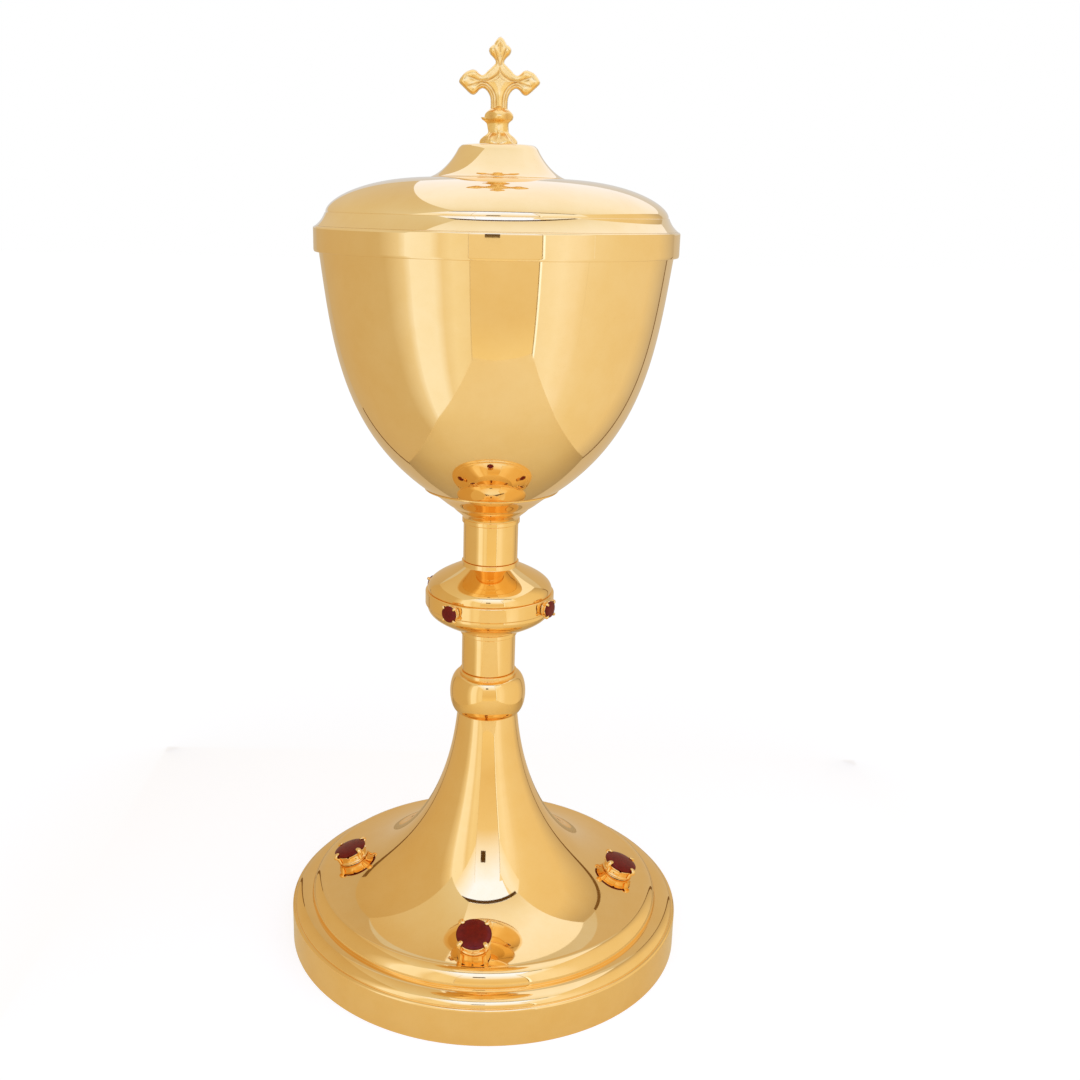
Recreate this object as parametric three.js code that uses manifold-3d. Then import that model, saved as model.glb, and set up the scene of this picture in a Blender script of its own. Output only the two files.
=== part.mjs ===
// Covered cup on a stem: a spun foot, a turned knot, a deep bowl and a lift-off lid with a cross.
// Millimetres, +Z up. The origin is on the floor, on the axis, under the middle of the foot.

import * as THREE from 'three';
import { mergeVertices } from 'three/addons/utils/BufferGeometryUtils.js';
import Module from 'manifold-3d';

const wasm = await Module();
wasm.setup();

// Faces round the axis
const shellSides = 28;
const knotSides = 24;
const stemSides = 20;
const boltSides = 12;
const lobeSides = 8;
const hexSides = 6;

// Clearances
const seatGap = 0.35; // under a curved or turned seat
const boltGap = 0.3; // round rods, studs and pins
const lidGap = 0.3; // between the lid and the rim it sits on
const flangeGap = 0.55; // between the lid's flange and the mouth of the bowl

// Foot: a skirt, two quarter-round mouldings and a trumpet
const footRadius = 74;
const skirtHeight = 13.75;
const skirtRound = 0.9;
const hemWidth = 3.4;
const sheet = 1.3; // spun brass of the foot
const lowerMouldWidth = 6.5;
const lowerMouldHeight = 2.95;
const upperMouldWidth = 5.4;
const upperMouldHeight = 5.36;
const trumpetSlope = 9.2; // degrees above level, at its foot
const trumpetLowPull = 31.7;
const neckRadius = 11.2;
const neckFlare = 4.9; // degrees out of upright, at its neck
const trumpetHighPull = 34.4;
const footHeight = 90.4;
const footCap = 1.6;
const settingInset = 9.85; // from the upper moulding in to the middle of a setting

// Stem: bead, two equal tubes and a knot between them
const beadRadius = 14.05;
const beadStep = 0.3; // from the neck of the foot in to the end of the bead
const beadHeight = 15;
const beadBore = 7;
const beadCollarProud = 0.77; // how far a collar stands out of the tube beside it
const beadCollarHeight = 1.3;
const tubeRadius = 9.83;
const tubeWall = 1.5;
const tubeLength = 14.3;
const knotRadius = 23;
const knotHeight = 28;
const knotCollarProud = 0.47;
const knotCollarHeight = 1.6;
const knotWall = 1.3;
const knotSideFlare = 2; // degrees out of upright, beside the band
const knotSidePull = 5.5;
const knotConeSlope = 23; // degrees above level, beside the collar
const knotConePull = 8.5;
const bandHeight = 5.4;
const bandProud = 0.4;
const bandChamfer = 0.35;

// Bowl and the collar it sits in
const collarHeight = 12.6;
const collarFootProud = 0.17;
const collarLipWidth = 0.2; // outside the bowl's neck
const collarLipHeight = 0.8;
const collarLipProud = 1; // how far the lip stands out of the cup below it
const collarLowSlope = 75.5; // degrees above level
const collarLowPull = 6.4;
const collarHighSlope = 25.4; // degrees above level
const collarHighPull = 9.1;
const bowlFlatRadius = 9;
const bowlNeckRadius = 24.2;
const bowlNeckRise = 4.95;
const bowlNeckSlope = 36.7; // degrees above level
const bowlRimRadius = 59.8;
const bowlRimSlope = 82.6; // degrees above level
const bowlWallHeight = 83.25;
const bowlWall = 1.2;
const bowlLowPull = 36.8;
const bowlHighPull = 30.6;
const bossRadius = 7.4;
const bossHeight = 8;
const bossRoof = 1.2;

// Lid
const bandLap = 2.7; // how far the lid's band reaches down outside the rim
const lidBandWall = 1.1;
const lidBandHeight = 8.2;
const lidBandRound = 0.7;
const lidBandLip = 0.2; // how far the band's lower edge curls in below its face
const ledgeWidth = 1.5;
const flangeDepth = 9;
const flangeWall = 1.1;
const flangeTop = 1.2;
const coveHeight = 4.25;
const coveSlope = 39.8; // degrees above level, at its foot
const coveLowPull = 1.6;
const coveFlare = 19.3; // degrees out of upright, at its top
const coveHighPull = 2.1;
const coveWidth = 3.15; // from the edge of the band's face in to the dome
const domeHeight = 11.85;
const knobLap = 1.3; // how far the knob covers the dome's flat top
const domeSidePull = 3.95;
const domeTopPull = 23.4;
const lidWall = 1.1;
const knobRadius = 22.3;
const knobTopRadius = 12.9;
const knobHeight = 10.9;
const knobEdge = 0.45;
const knobLowSlope = 30.1; // degrees above level
const knobLowPull = 3.6;
const knobHighFlare = 23.4; // degrees out of upright
const knobHighPull = 3.3;

// Cross
const crossCentre = 19.2; // height of the crossing above the cross's foot
const topReach = 13.8; // from the crossing to the end of the upper arm
const sideReach = 13.4; // from the crossing to the end of a side arm
const tipLobeRadius = 2.3;
const sideLobeRadius = 2;
const sideLobeSpread = 1.85;
const sideLobeInset = 4.4; // from the end of an arm to the middle of its side lobes
const armNeck = 1.5; // half the width of an arm at its neck
const diamondHalf = 7.05;
const plateThickness = 3;
const lobeThickness = 3.8;
const lobeEdge = 1.9; // thickness at the rim of a lobe
const starReach = 5.2;
const starWaist = 1.3;
const starProud = 0.5;
const shaftHalf = 2.7;
const shaftThickness = 3.9;
const shaftTopRadius = 2.2; // where the round lower shaft ends inside the flat one
const leafCollarRadius = 4.4;
const leafCollarHeight = 3.3;
const leafCollarLevel = 7;
const leafCollarEdge = 1; // upright edge of the leaf collar
const lowerShaftRadius = 3.4;
const lowerShaftTaper = 0.3;
const leafFootRadius = 6;
const leafFootHeight = 3.3;
const leafFootEdge = 1.3; // upright edge of the leaf foot

// Fixings
const rodRadius = 3;
const rodSpare = 2.5; // thread left below the nut
const washerGap = 1.9; // between the washer and the neck it sits in
const footWasherThickness = 2;
const footNutRadius = 5.6;
const footNutHeight = 5;
const studRadius = 2;
const studGrip = 4.6; // thread inside the cross
const studSpare = 1.2;
const lidWasherRadius = 5.5;
const lidWasherThickness = 1;
const lidNutRadius = 4;
const lidNutHeight = 3.2;

// Stones in claw settings: four on the foot, four on the knot's band
const footSetting = {
  turn: -3.4, stoneRadius: 6.25, baseRadius: 4.5, crownRadius: 6.65, height: 3.7,
  wall: 0.8, girdle: 0.5, dome: 1.2, pavilion: 1.6, clawWidth: 1.1, clawThickness: 0.75,
  clawReach: 1.15, notch: 1.3, sides: 12,
};
const knotSetting = {
  turn: -33, stoneRadius: 3, baseRadius: 2.1, crownRadius: 3.2, height: 1.8,
  wall: 0.6, girdle: 0.3, dome: 0.6, pavilion: 0.8, clawWidth: 0.7, clawThickness: 0.5,
  clawReach: 0.75, notch: 0.7, sides: 8,
};
const clawCount = 4;

// Shares inside one setting
const waistShare = 0.28; // height of the waist, in the wall's height
const waistProud = 0.35; // how far the wire at the waist stands out, in the wall's thickness
const clawRootShare = 0.4; // height where a claw leaves the wall, in the wall's height
const clawBury = 0.7; // depth of a claw's root in the wall, in the wall's thickness
const clawSwell = 0.5; // how far a claw stands out at its root and at its fold, in its thickness
const clawTipLow = 0.8; // underside of a claw's tip above the fold, in its thickness
const clawTipHigh = 1.5; // top of a claw's tip above the fold, in its thickness
const culetShare = 0.5; // radius of the flat under the stone, in the stone's radius
const pavilionShare = 0.86; // radius where the stone's tapered back begins, in its radius

// Radii that follow from the sizes above
const stepRadius = footRadius - skirtRound - lowerMouldWidth;
const trumpetRadius = stepRadius - upperMouldWidth;
const settingRadius = trumpetRadius - settingInset;
const beadEndRadius = neckRadius - beadStep;
const beadCollarRadius = tubeRadius + beadCollarProud;
const knotCollarRadius = tubeRadius + knotCollarProud;
const knotBandRadius = knotRadius + bandProud;
const collarFootRadius = tubeRadius + collarFootProud;
const collarLipRadius = bowlNeckRadius + collarLipWidth;
const lidBore = bowlRimRadius + lidGap; // inside of the band, round the bowl's rim
const lidBandRadius = lidBore + lidBandWall;
const domeRadius = lidBandRadius - lidBandRound - coveWidth;
const domeFlatRadius = knobRadius - knobLap;
const footWasherRadius = neckRadius - sheet - washerGap;

// Levels up the axis
const stepHeight = skirtHeight + lowerMouldHeight;
const trumpetFoot = stepHeight + upperMouldHeight;
const beadBase = footHeight;
const lowerTubeBase = beadBase + beadHeight + beadCollarHeight;
const knotBase = lowerTubeBase + tubeLength;
const upperTubeBase = knotBase + knotHeight;
const collarBase = upperTubeBase + tubeLength;
const bowlNeckLevel = collarBase + collarHeight + seatGap;
const bowlBase = bowlNeckLevel - bowlNeckRise;
const rimLevel = bowlNeckLevel + bowlWallHeight;
const lidBandBase = rimLevel - bandLap;
const lidBase = lidBandBase + lidBandHeight;
const domeBase = lidBase + coveHeight;
const knobBase = domeBase + domeHeight;
const crossBase = knobBase + knobHeight;

const gold = new THREE.MeshStandardMaterial({ color: 0xe3b562, metalness: 1, roughness: 0.12 });
const innerGold = new THREE.MeshStandardMaterial({ color: 0xd9aa5a, metalness: 1, roughness: 0.3 });
const garnet = new THREE.MeshStandardMaterial({ color: 0x5e1216, metalness: 0, roughness: 0.08 });
const steel = new THREE.MeshStandardMaterial({ color: 0x9c9a94, metalness: 1, roughness: 0.35 });

// Geometry helpers

const at = (r, z) => new THREE.Vector2(r, z);

// The point that lies a distance from another, along a heading in degrees above level
function toward(point, heading, distance) {
  const turn = THREE.MathUtils.degToRad(heading);
  return at(point.x + distance * Math.cos(turn), point.y + distance * Math.sin(turn));
}

// A curve between two profile points, with the heading and the pull at each end
function bend(low, lowHeading, lowPull, high, highHeading, highPull) {
  return new THREE.CubicBezierCurve(
    low,
    toward(low, lowHeading, lowPull),
    toward(high, highHeading + 180, highPull),
    high,
  );
}

// A quarter of an ellipse, level at its high inner end and upright at its low outer end
function quarterRound(high, low, steps) {
  const points = [];
  for (let i = 0; i <= steps; i += 1) {
    const turn = (Math.PI / 2) * (i / steps);
    const r = high.x + (low.x - high.x) * Math.sin(turn);
    const z = low.y + (high.y - low.y) * Math.cos(turn);
    points.push(at(r, z));
  }
  return points;
}

// A flat outline with corners at even turns, each at its own radius
function outlineOf(corners, radiusOf) {
  const points = [];
  for (let i = 0; i < corners; i += 1) {
    const turn = (2 * Math.PI * i) / corners;
    points.push(at(radiusOf(i) * Math.cos(turn), radiusOf(i) * Math.sin(turn)));
  }
  return new THREE.Shape(points);
}

// Moves each point of a profile sideways, square to the line, towards its right-hand side
function offset(points, distance) {
  return points.map((point, i) => {
    const before = points[Math.max(i - 1, 0)];
    const after = points[Math.min(i + 1, points.length - 1)];
    const along = after.clone().sub(before).normalize();
    return at(point.x + along.y * distance, point.y - along.x * distance);
  });
}

// The radius of a climbing profile at one level
function radiusAt(points, level) {
  const next = points.findIndex((point) => point.y > level);
  const [low, high] = [points[next - 1], points[next]];
  return low.x + ((high.x - low.x) * (level - low.y)) / (high.y - low.y);
}

// Keeps shared corners once and drops triangles that have no area
function tidy(geometry) {
  const bare = new THREE.BufferGeometry();
  bare.setAttribute('position', geometry.getAttribute('position'));
  bare.setIndex(geometry.getIndex());
  const merged = mergeVertices(bare, 1e-4);
  const corners = merged.getIndex().array;
  const kept = [];
  for (let i = 0; i < corners.length; i += 3) {
    const [a, b, c] = [corners[i], corners[i + 1], corners[i + 2]];
    if (a !== b && b !== c && c !== a) kept.push(a, b, c);
  }
  merged.setIndex(kept);
  return merged;
}

// Turns a closed profile round the Z axis. The profile climbs its outer side and comes down inside.
function spin(profile, sides) {
  const closed = profile[0].x === 0 ? profile : [...profile, profile[0].clone()];
  return tidy(new THREE.LatheGeometry(closed, sides).rotateX(Math.PI / 2));
}

function toSolid(geometry) {
  const merged = tidy(geometry);
  return new wasm.Manifold(new wasm.Mesh({
    numProp: 3,
    vertProperties: new Float32Array(merged.getAttribute('position').array),
    triVerts: new Uint32Array(merged.getIndex().array),
  }));
}

function fromSolid(solid) {
  const mesh = solid.getMesh();
  const geometry = new THREE.BufferGeometry();
  geometry.setAttribute('position', new THREE.BufferAttribute(mesh.vertProperties, 3));
  geometry.setIndex(new THREE.BufferAttribute(mesh.triVerts, 1));
  geometry.computeVertexNormals();
  return geometry;
}

const joined = (geometries) => geometries.map(toSolid).reduce((all, one) => all.add(one));

// A ring with a plain rectangular section
function ring(outer, inner, base, height, sides) {
  return spin([at(inner, base), at(outer, base), at(outer, base + height), at(inner, base + height)], sides);
}

// A round bar that stands on its end
function bar(radius, base, height, sides) {
  return spin([at(0, base), at(radius, base), at(radius, base + height), at(0, base + height)], sides);
}

const ciborium = new THREE.Group();

function add(name, geometry, material, parent = ciborium) {
  const mesh = new THREE.Mesh(geometry, material);
  mesh.name = name;
  parent.add(mesh);
  return mesh;
}

// Foot

// The trumpet's curve, from the mouldings up to the neck
const trumpet = bend(
  at(trumpetRadius, trumpetFoot),
  180 - trumpetSlope,
  trumpetLowPull,
  at(neckRadius, footHeight),
  90 + neckFlare,
  trumpetHighPull,
);

// Where the trumpet's curve has a given radius: its point and its slope
function onTrumpet(radius) {
  let [from, to] = [0, 1];
  for (let i = 0; i < 40; i += 1) {
    const middle = (from + to) / 2;
    if (trumpet.getPoint(middle).x > radius) from = middle;
    else to = middle;
  }
  const along = trumpet.getTangent(from);
  return { level: trumpet.getPoint(from).y, slope: Math.atan2(along.y, -along.x) };
}

function footShell() {
  const skirtEdge = quarterRound(
    at(footRadius - skirtRound, skirtHeight),
    at(footRadius, skirtHeight - skirtRound),
    2,
  );
  const lowerMould = quarterRound(at(stepRadius, stepHeight), at(footRadius - skirtRound, skirtHeight), 3);
  const upperMould = quarterRound(at(trumpetRadius, trumpetFoot), at(stepRadius, stepHeight), 3);
  const outside = [
    at(footRadius, 0),
    ...skirtEdge.reverse(),
    ...lowerMould.reverse().slice(1),
    ...upperMould.reverse().slice(1),
    ...trumpet.getPoints(10).slice(1),
  ];
  const capLevel = footHeight - footCap;
  const lining = offset(trumpet.getPoints(6).reverse(), sheet).filter((p) => p.y < capLevel - sheet);
  const inside = [
    at(rodRadius + boltGap, footHeight),
    at(rodRadius + boltGap, capLevel),
    at(neckRadius - sheet, capLevel),
    ...lining,
    at(stepRadius - sheet, stepHeight),
    at(stepRadius - sheet, stepHeight - sheet),
    at(footRadius - skirtRound - sheet, skirtHeight - sheet),
    at(footRadius - sheet, skirtHeight - skirtRound - sheet),
    at(footRadius - sheet, sheet),
    at(footRadius - hemWidth, sheet),
    at(footRadius - hemWidth, 0),
  ];
  return spin([...outside, ...inside], shellSides);
}

add('foot_shell', footShell(), gold);

// Stem

function bead() {
  const profile = [at(beadBore, 0), at(beadEndRadius, 0)];
  const steps = 6;
  for (let i = 1; i <= steps; i += 1) {
    const turn = Math.PI * (i / steps);
    const r = beadEndRadius + (beadRadius - beadEndRadius) * Math.sin(turn);
    profile.push(at(r, (beadHeight * (1 - Math.cos(turn))) / 2));
  }
  profile.push(at(beadCollarRadius, beadHeight));
  profile.push(at(beadCollarRadius, beadHeight + beadCollarHeight));
  profile.push(at(beadBore, beadHeight + beadCollarHeight));
  return spin(profile, stemSides).translate(0, 0, beadBase);
}

const tubeBore = tubeRadius - tubeWall;

// Half of the knot, from the band's edge to the collar at the tube, with its wall inside
function knotHalf() {
  const top = knotHeight / 2;
  const shoulder = top - knotCollarHeight;
  const side = bend(
    at(knotRadius, bandHeight / 2),
    90 - knotSideFlare,
    knotSidePull,
    at(knotCollarRadius, shoulder),
    180 - knotConeSlope,
    knotConePull,
  );
  const inside = offset(side.getPoints(4), -knotWall);
  inside[0].y = bandHeight / 2;
  return [
    ...side.getPoints(6),
    at(knotCollarRadius, top),
    at(tubeBore, top),
    at(tubeBore, shoulder - knotWall),
    ...inside.reverse(),
  ];
}

const knotCentre = knotBase + knotHeight / 2;

function knotBand() {
  const half = bandHeight / 2;
  const bore = knotRadius - knotWall * 2;
  return spin([
    at(bore, -half),
    at(knotBandRadius - bandChamfer, -half),
    at(knotBandRadius, -half + bandChamfer),
    at(knotBandRadius, half - bandChamfer),
    at(knotBandRadius - bandChamfer, half),
    at(bore, half),
  ], knotSides);
}

add('lower_bead', bead(), gold);
add('lower_stem_tube', ring(tubeRadius, tubeBore, lowerTubeBase, tubeLength, stemSides), gold);
add('knot_lower_half', spin(knotHalf().map((p) => at(p.x, -p.y)).reverse(), knotSides), gold)
  .position.z = knotCentre;
add('knot_band', knotBand(), gold).position.z = knotCentre;
add('knot_upper_half', spin(knotHalf(), knotSides), gold).position.z = knotCentre;
add('upper_stem_tube', ring(tubeRadius, tubeBore, upperTubeBase, tubeLength, stemSides), gold);

// Bowl

// The bowl's underside, from its flat middle out to where the wall begins
const bowlUnderside = bend(
  at(bowlFlatRadius, bowlBase),
  0,
  bowlNeckRise,
  at(bowlNeckRadius, bowlNeckLevel),
  bowlNeckSlope,
  bowlNeckRise,
);

// The bowl's wall, from its neck up to the rim
const bowlSide = bend(
  at(bowlNeckRadius, bowlNeckLevel),
  bowlNeckSlope,
  bowlLowPull,
  at(bowlRimRadius, rimLevel),
  bowlRimSlope,
  bowlHighPull,
);

function bowlShell() {
  const outside = [...bowlUnderside.getPoints(3), ...bowlSide.getPoints(8).slice(1)];
  const centreLine = [...bowlUnderside.getPoints(2), ...bowlSide.getPoints(6).slice(1)];
  const inside = offset(centreLine, -bowlWall).reverse();
  inside[0].y = rimLevel;
  return spin([at(0, bowlBase), ...outside, ...inside, at(0, bowlBase + bowlWall)], shellSides);
}

// The cup that carries the bowl, with a raised lip round its mouth
function bowlCollar() {
  const top = collarBase + collarHeight;
  const side = bend(
    at(collarFootRadius, collarBase),
    collarLowSlope,
    collarLowPull,
    at(collarLipRadius - collarLipProud, top - collarLipHeight),
    collarHighSlope,
    collarHighPull,
  );
  const seat = bowlUnderside.getPoints(3).map((p) => at(p.x, p.y - seatGap));
  return spin([
    ...side.getPoints(6),
    at(collarLipRadius, top - collarLipHeight),
    at(collarLipRadius, top),
    ...seat.reverse(),
    at(tubeBore, bowlBase - seatGap),
    at(tubeBore, collarBase),
  ], shellSides);
}

function bowlBoss() {
  const bore = rodRadius + boltGap;
  const mouth = bowlBase - bossHeight;
  const end = bowlBase - bossRoof;
  return spin([
    at(0, end),
    at(bore, end),
    at(bore, mouth),
    at(bossRadius, mouth),
    at(bossRadius, bowlBase),
    at(0, bowlBase),
  ], stemSides);
}

add('bowl_collar', bowlCollar(), gold);
add('bowl_boss', bowlBoss(), steel);
add('cup_bowl', bowlShell(), gold);

// Rod, washer and nut that pull the stem together

function nut(radius, bore, base, height) {
  const outline = outlineOf(hexSides, () => radius);
  outline.holes.push(new THREE.Path().absarc(0, 0, bore, 0, 2 * Math.PI, true));
  const shape = new THREE.ExtrudeGeometry(outline, {
    depth: height,
    bevelEnabled: false,
    curveSegments: boltSides / 2,
  });
  return tidy(shape.translate(0, 0, base));
}

const footWasherBase = footHeight - footCap - footWasherThickness;
const footNutBase = footWasherBase - footNutHeight;
const rodBase = footNutBase - rodSpare;
const rodTop = bowlBase - bossRoof - boltGap;

add('tie_rod', bar(rodRadius, rodBase, rodTop - rodBase, boltSides), steel);
const rodHole = rodRadius + boltGap;
const footWasher = ring(footWasherRadius, rodHole, footWasherBase, footWasherThickness, boltSides);
add('foot_washer', footWasher, steel);
add('foot_nut', nut(footNutRadius, rodHole, footNutBase, footNutHeight), steel);

// Lid

const lid = new THREE.Group();
ciborium.add(lid);

const ledgeLevel = rimLevel + lidGap;
const ledgeRadius = lidBore - ledgeWidth;

function lidBand() {
  const topEdge = quarterRound(
    at(lidBandRadius - lidBandRound, lidBase),
    at(lidBandRadius, lidBase - lidBandRound),
    2,
  );
  return spin([
    at(lidBore, lidBandBase),
    at(lidBandRadius - lidBandLip, lidBandBase),
    at(lidBandRadius, lidBandBase + lidBandRound),
    ...topEdge.reverse(),
    at(ledgeRadius, lidBase),
    at(ledgeRadius, ledgeLevel),
    at(lidBore, ledgeLevel),
  ], shellSides);
}

// The ring that hangs in the bowl's mouth and keeps the lid central
function lidFlange() {
  const bottom = rimLevel - flangeDepth;
  const outer = radiusAt(offset(bowlSide.getPoints(6), -bowlWall), bottom) - flangeGap;
  const inner = outer - flangeWall;
  const rim = ledgeRadius - boltGap;
  return spin([
    at(inner, bottom),
    at(outer, bottom),
    at(outer, lidBase - flangeTop),
    at(rim, lidBase - flangeTop),
    at(rim, lidBase),
    at(inner, lidBase),
  ], shellSides);
}

function lidShell() {
  const shoulder = at(domeRadius, domeBase);
  const cove = bend(
    at(lidBandRadius - lidBandRound, lidBase),
    180 - coveSlope,
    coveLowPull,
    shoulder,
    90 + coveFlare,
    coveHighPull,
  );
  const dome = bend(shoulder, 90, domeSidePull, at(domeFlatRadius, knobBase), 180, domeTopPull);
  const hole = studRadius + boltGap;
  return spin([
    ...cove.getPoints(3),
    ...dome.getPoints(6).slice(1),
    at(hole, knobBase),
    at(hole, knobBase - lidWall),
    ...offset(dome.getPoints(4), -lidWall).reverse(),
    at(domeRadius - lidWall, lidBase + coveHeight / 2),
    at(domeRadius - lidWall, lidBase),
  ], shellSides);
}

// The turned knob under the cross
function lidKnob() {
  const hole = studRadius + boltGap;
  const side = bend(
    at(knobRadius, knobBase + knobEdge),
    180 - knobLowSlope,
    knobLowPull,
    at(knobTopRadius, crossBase - knobEdge),
    90 + knobHighFlare,
    knobHighPull,
  );
  return spin([
    at(hole, knobBase),
    at(knobRadius, knobBase),
    ...side.getPoints(5),
    at(knobTopRadius - knobEdge, crossBase),
    at(hole, crossBase),
  ], stemSides);
}

add('lid_band', lidBand(), gold, lid);
add('lid_flange', lidFlange(), innerGold, lid);
add('lid_shell', lidShell(), gold, lid);
add('lid_knob', lidKnob(), gold, lid);

// Cross: budded arms round a diamond plate, on a shaft with a leaf collar and a leaf foot

// A disc that bulges on both faces, standing in the plane of the cross
function lobe(radius, x, z) {
  const edge = lobeEdge / 2;
  const crown = lobeThickness / 2;
  const flat = radius - (crown - edge);
  const profile = [
    at(0, -crown),
    at(flat, -crown),
    at(radius, -edge),
    at(radius, edge),
    at(flat, crown),
    at(0, crown),
  ];
  return new THREE.LatheGeometry(profile, lobeSides).translate(x, 0, z);
}

// One budded arm that points along an angle in the plane of the cross
function arm(angle, reach) {
  const place = (along, across) => [
    along * Math.cos(angle) - across * Math.sin(angle),
    along * Math.sin(angle) + across * Math.cos(angle),
  ];
  const tip = reach - tipLobeRadius;
  const bud = reach - sideLobeInset;
  const neck = new THREE.BoxGeometry(tip, plateThickness, 2 * armNeck)
    .translate(tip / 2, 0, 0)
    .rotateY(-angle);
  return [
    neck,
    lobe(tipLobeRadius, ...place(tip, 0)),
    lobe(sideLobeRadius, ...place(bud, sideLobeSpread)),
    lobe(sideLobeRadius, ...place(bud, -sideLobeSpread)),
  ];
}

// The four-pointed star that stands out of both faces at the crossing
function star() {
  const outline = outlineOf(8, (i) => (i % 2 === 0 ? starReach : starWaist));
  const depth = plateThickness + 2 * starProud;
  return new THREE.ExtrudeGeometry(outline, { depth, bevelEnabled: false })
    .translate(0, 0, -depth / 2)
    .rotateX(Math.PI / 2);
}

function cross() {
  const diamondSide = diamondHalf * Math.SQRT2;
  const diamond = new THREE.BoxGeometry(diamondSide, plateThickness, diamondSide).rotateY(Math.PI / 4);
  const arms = [...arm(0, sideReach), ...arm(Math.PI / 2, topReach), ...arm(Math.PI, sideReach)];
  const head = [...arms, diamond, star()];
  head.forEach((piece) => piece.translate(0, 0, crossCentre));
  const shaftLow = leafFootHeight;
  const shaftHigh = crossCentre - diamondHalf + shaftHalf;
  const shaft = new THREE.BoxGeometry(2 * shaftHalf, shaftThickness, shaftHigh - shaftLow)
    .translate(0, 0, (shaftHigh + shaftLow) / 2);
  const collarTop = leafCollarLevel + leafCollarHeight;
  const leafRound = quarterRound(
    at(lowerShaftRadius, leafFootHeight),
    at(leafFootRadius, leafFootEdge),
    2,
  );
  const turned = spin([
    at(0, 0),
    at(leafFootRadius, 0),
    ...leafRound.reverse(),
    at(lowerShaftRadius - lowerShaftTaper, leafCollarLevel),
    at(leafCollarRadius, leafCollarLevel + leafCollarEdge),
    at(leafCollarRadius, leafCollarLevel + 2 * leafCollarEdge),
    at(shaftTopRadius, collarTop),
    at(0, collarTop),
  ], boltSides);
  const hole = bar(studRadius + boltGap, -1, studGrip + boltGap + 1, boltSides);
  return fromSolid(joined([...head, shaft, turned]).subtract(toSolid(hole)));
}

add('cross', cross(), gold, lid).position.z = crossBase;

// Stud, washer and nut that hold the cross and the knob to the lid

const lidWasherBase = knobBase - lidWall - lidWasherThickness;
const lidNutBase = lidWasherBase - lidNutHeight;
const studBase = lidNutBase - studSpare;
const studTop = crossBase + studGrip;

add('cross_stud', bar(studRadius, studBase, studTop - studBase, boltSides), steel, lid);
const studHole = studRadius + boltGap;
const lidWasher = ring(lidWasherRadius, studHole, lidWasherBase, lidWasherThickness, boltSides);
add('lid_washer', lidWasher, steel, lid);
add('lid_nut', nut(lidNutRadius, studHole, lidNutBase, lidNutHeight), steel, lid);

// Stones and their claw settings. Each stands on its own z = 0 and points along +Z.

// A hooked claw that grows from the wall and folds over the edge of the stone
function claw(setting) {
  const { baseRadius, crownRadius, height, wall } = setting;
  const { stoneRadius, girdle, clawThickness, clawReach, clawWidth } = setting;
  const inner = stoneRadius + boltGap;
  const outer = inner + clawThickness;
  const fold = height + boltGap + girdle + boltGap;
  const root = height * clawRootShare;
  const flare = (crownRadius - baseRadius) / (height * (1 - waistShare));
  const wallAt = (z) => baseRadius + flare * (z - height * waistShare);
  const outline = new THREE.Shape([
    at(wallAt(root) - wall * clawBury, root),
    at(wallAt(root) + clawThickness * clawSwell, root),
    at(outer, height),
    at(outer, fold + clawThickness * clawSwell),
    at(inner - clawReach, fold + clawThickness * clawTipHigh),
    at(inner - clawReach, fold + clawThickness * clawTipLow),
    at(inner, fold),
    at(inner, height),
  ]);
  return new THREE.ExtrudeGeometry(outline, { depth: clawWidth, bevelEnabled: false })
    .translate(0, 0, -clawWidth / 2)
    .rotateX(Math.PI / 2);
}

// The flared cup of a setting, notched between its claws
function collet(setting) {
  const { baseRadius, crownRadius, height, wall, notch, sides } = setting;
  const waist = height * waistShare;
  const cup = spin([
    at(baseRadius - wall, 0),
    at(baseRadius, 0),
    at(baseRadius + wall * waistProud, waist / 2),
    at(baseRadius, waist),
    at(crownRadius, height),
    at(crownRadius - wall, height),
    at(baseRadius - wall, waist),
  ], sides);
  let body = toSolid(cup);
  for (let i = 0; i < clawCount / 2; i += 1) {
    const cut = new THREE.BoxGeometry(4 * crownRadius, notch, notch)
      .rotateX(Math.PI / 4)
      .translate(0, 0, height)
      .rotateZ((2 * Math.PI * i) / clawCount);
    body = body.subtract(toSolid(cut));
  }
  for (let i = 0; i < clawCount; i += 1) {
    const hook = claw(setting).rotateZ((2 * Math.PI * (i + 0.5)) / clawCount);
    body = body.add(toSolid(hook));
  }
  return fromSolid(body);
}

// A domed stone with a short tapered back
function stone(setting) {
  const { stoneRadius, height, girdle, dome, pavilion, sides } = setting;
  const seat = height + boltGap;
  const profile = [
    at(0, seat - pavilion),
    at(stoneRadius * culetShare, seat - pavilion),
    at(stoneRadius * pavilionShare, seat),
    at(stoneRadius, seat),
  ];
  const steps = 3;
  for (let i = 0; i <= steps; i += 1) {
    const turn = (Math.PI / 2) * (i / steps);
    const r = i === steps ? 0 : stoneRadius * Math.cos(turn);
    profile.push(at(r, seat + girdle + dome * Math.sin(turn)));
  }
  return spin(profile, sides);
}

// Four settings round the axis, each leaning out by the same angle
function settingRing(setting, names, prefix, radius, level, lean) {
  const colletShape = collet(setting);
  const stoneShape = stone(setting);
  names.forEach((name, i) => {
    const holder = new THREE.Group();
    holder.rotation.z = THREE.MathUtils.degToRad(setting.turn) + (2 * Math.PI * i) / names.length;
    const seat = new THREE.Group();
    seat.position.set(0, -radius - seatGap * Math.sin(lean), level + seatGap * Math.cos(lean));
    seat.rotation.x = lean;
    add(`${prefix}_collet_${name}`, colletShape, gold, seat);
    add(`${prefix}_stone_${name}`, stoneShape, garnet, seat);
    holder.add(seat);
    ciborium.add(holder);
  });
}

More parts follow.
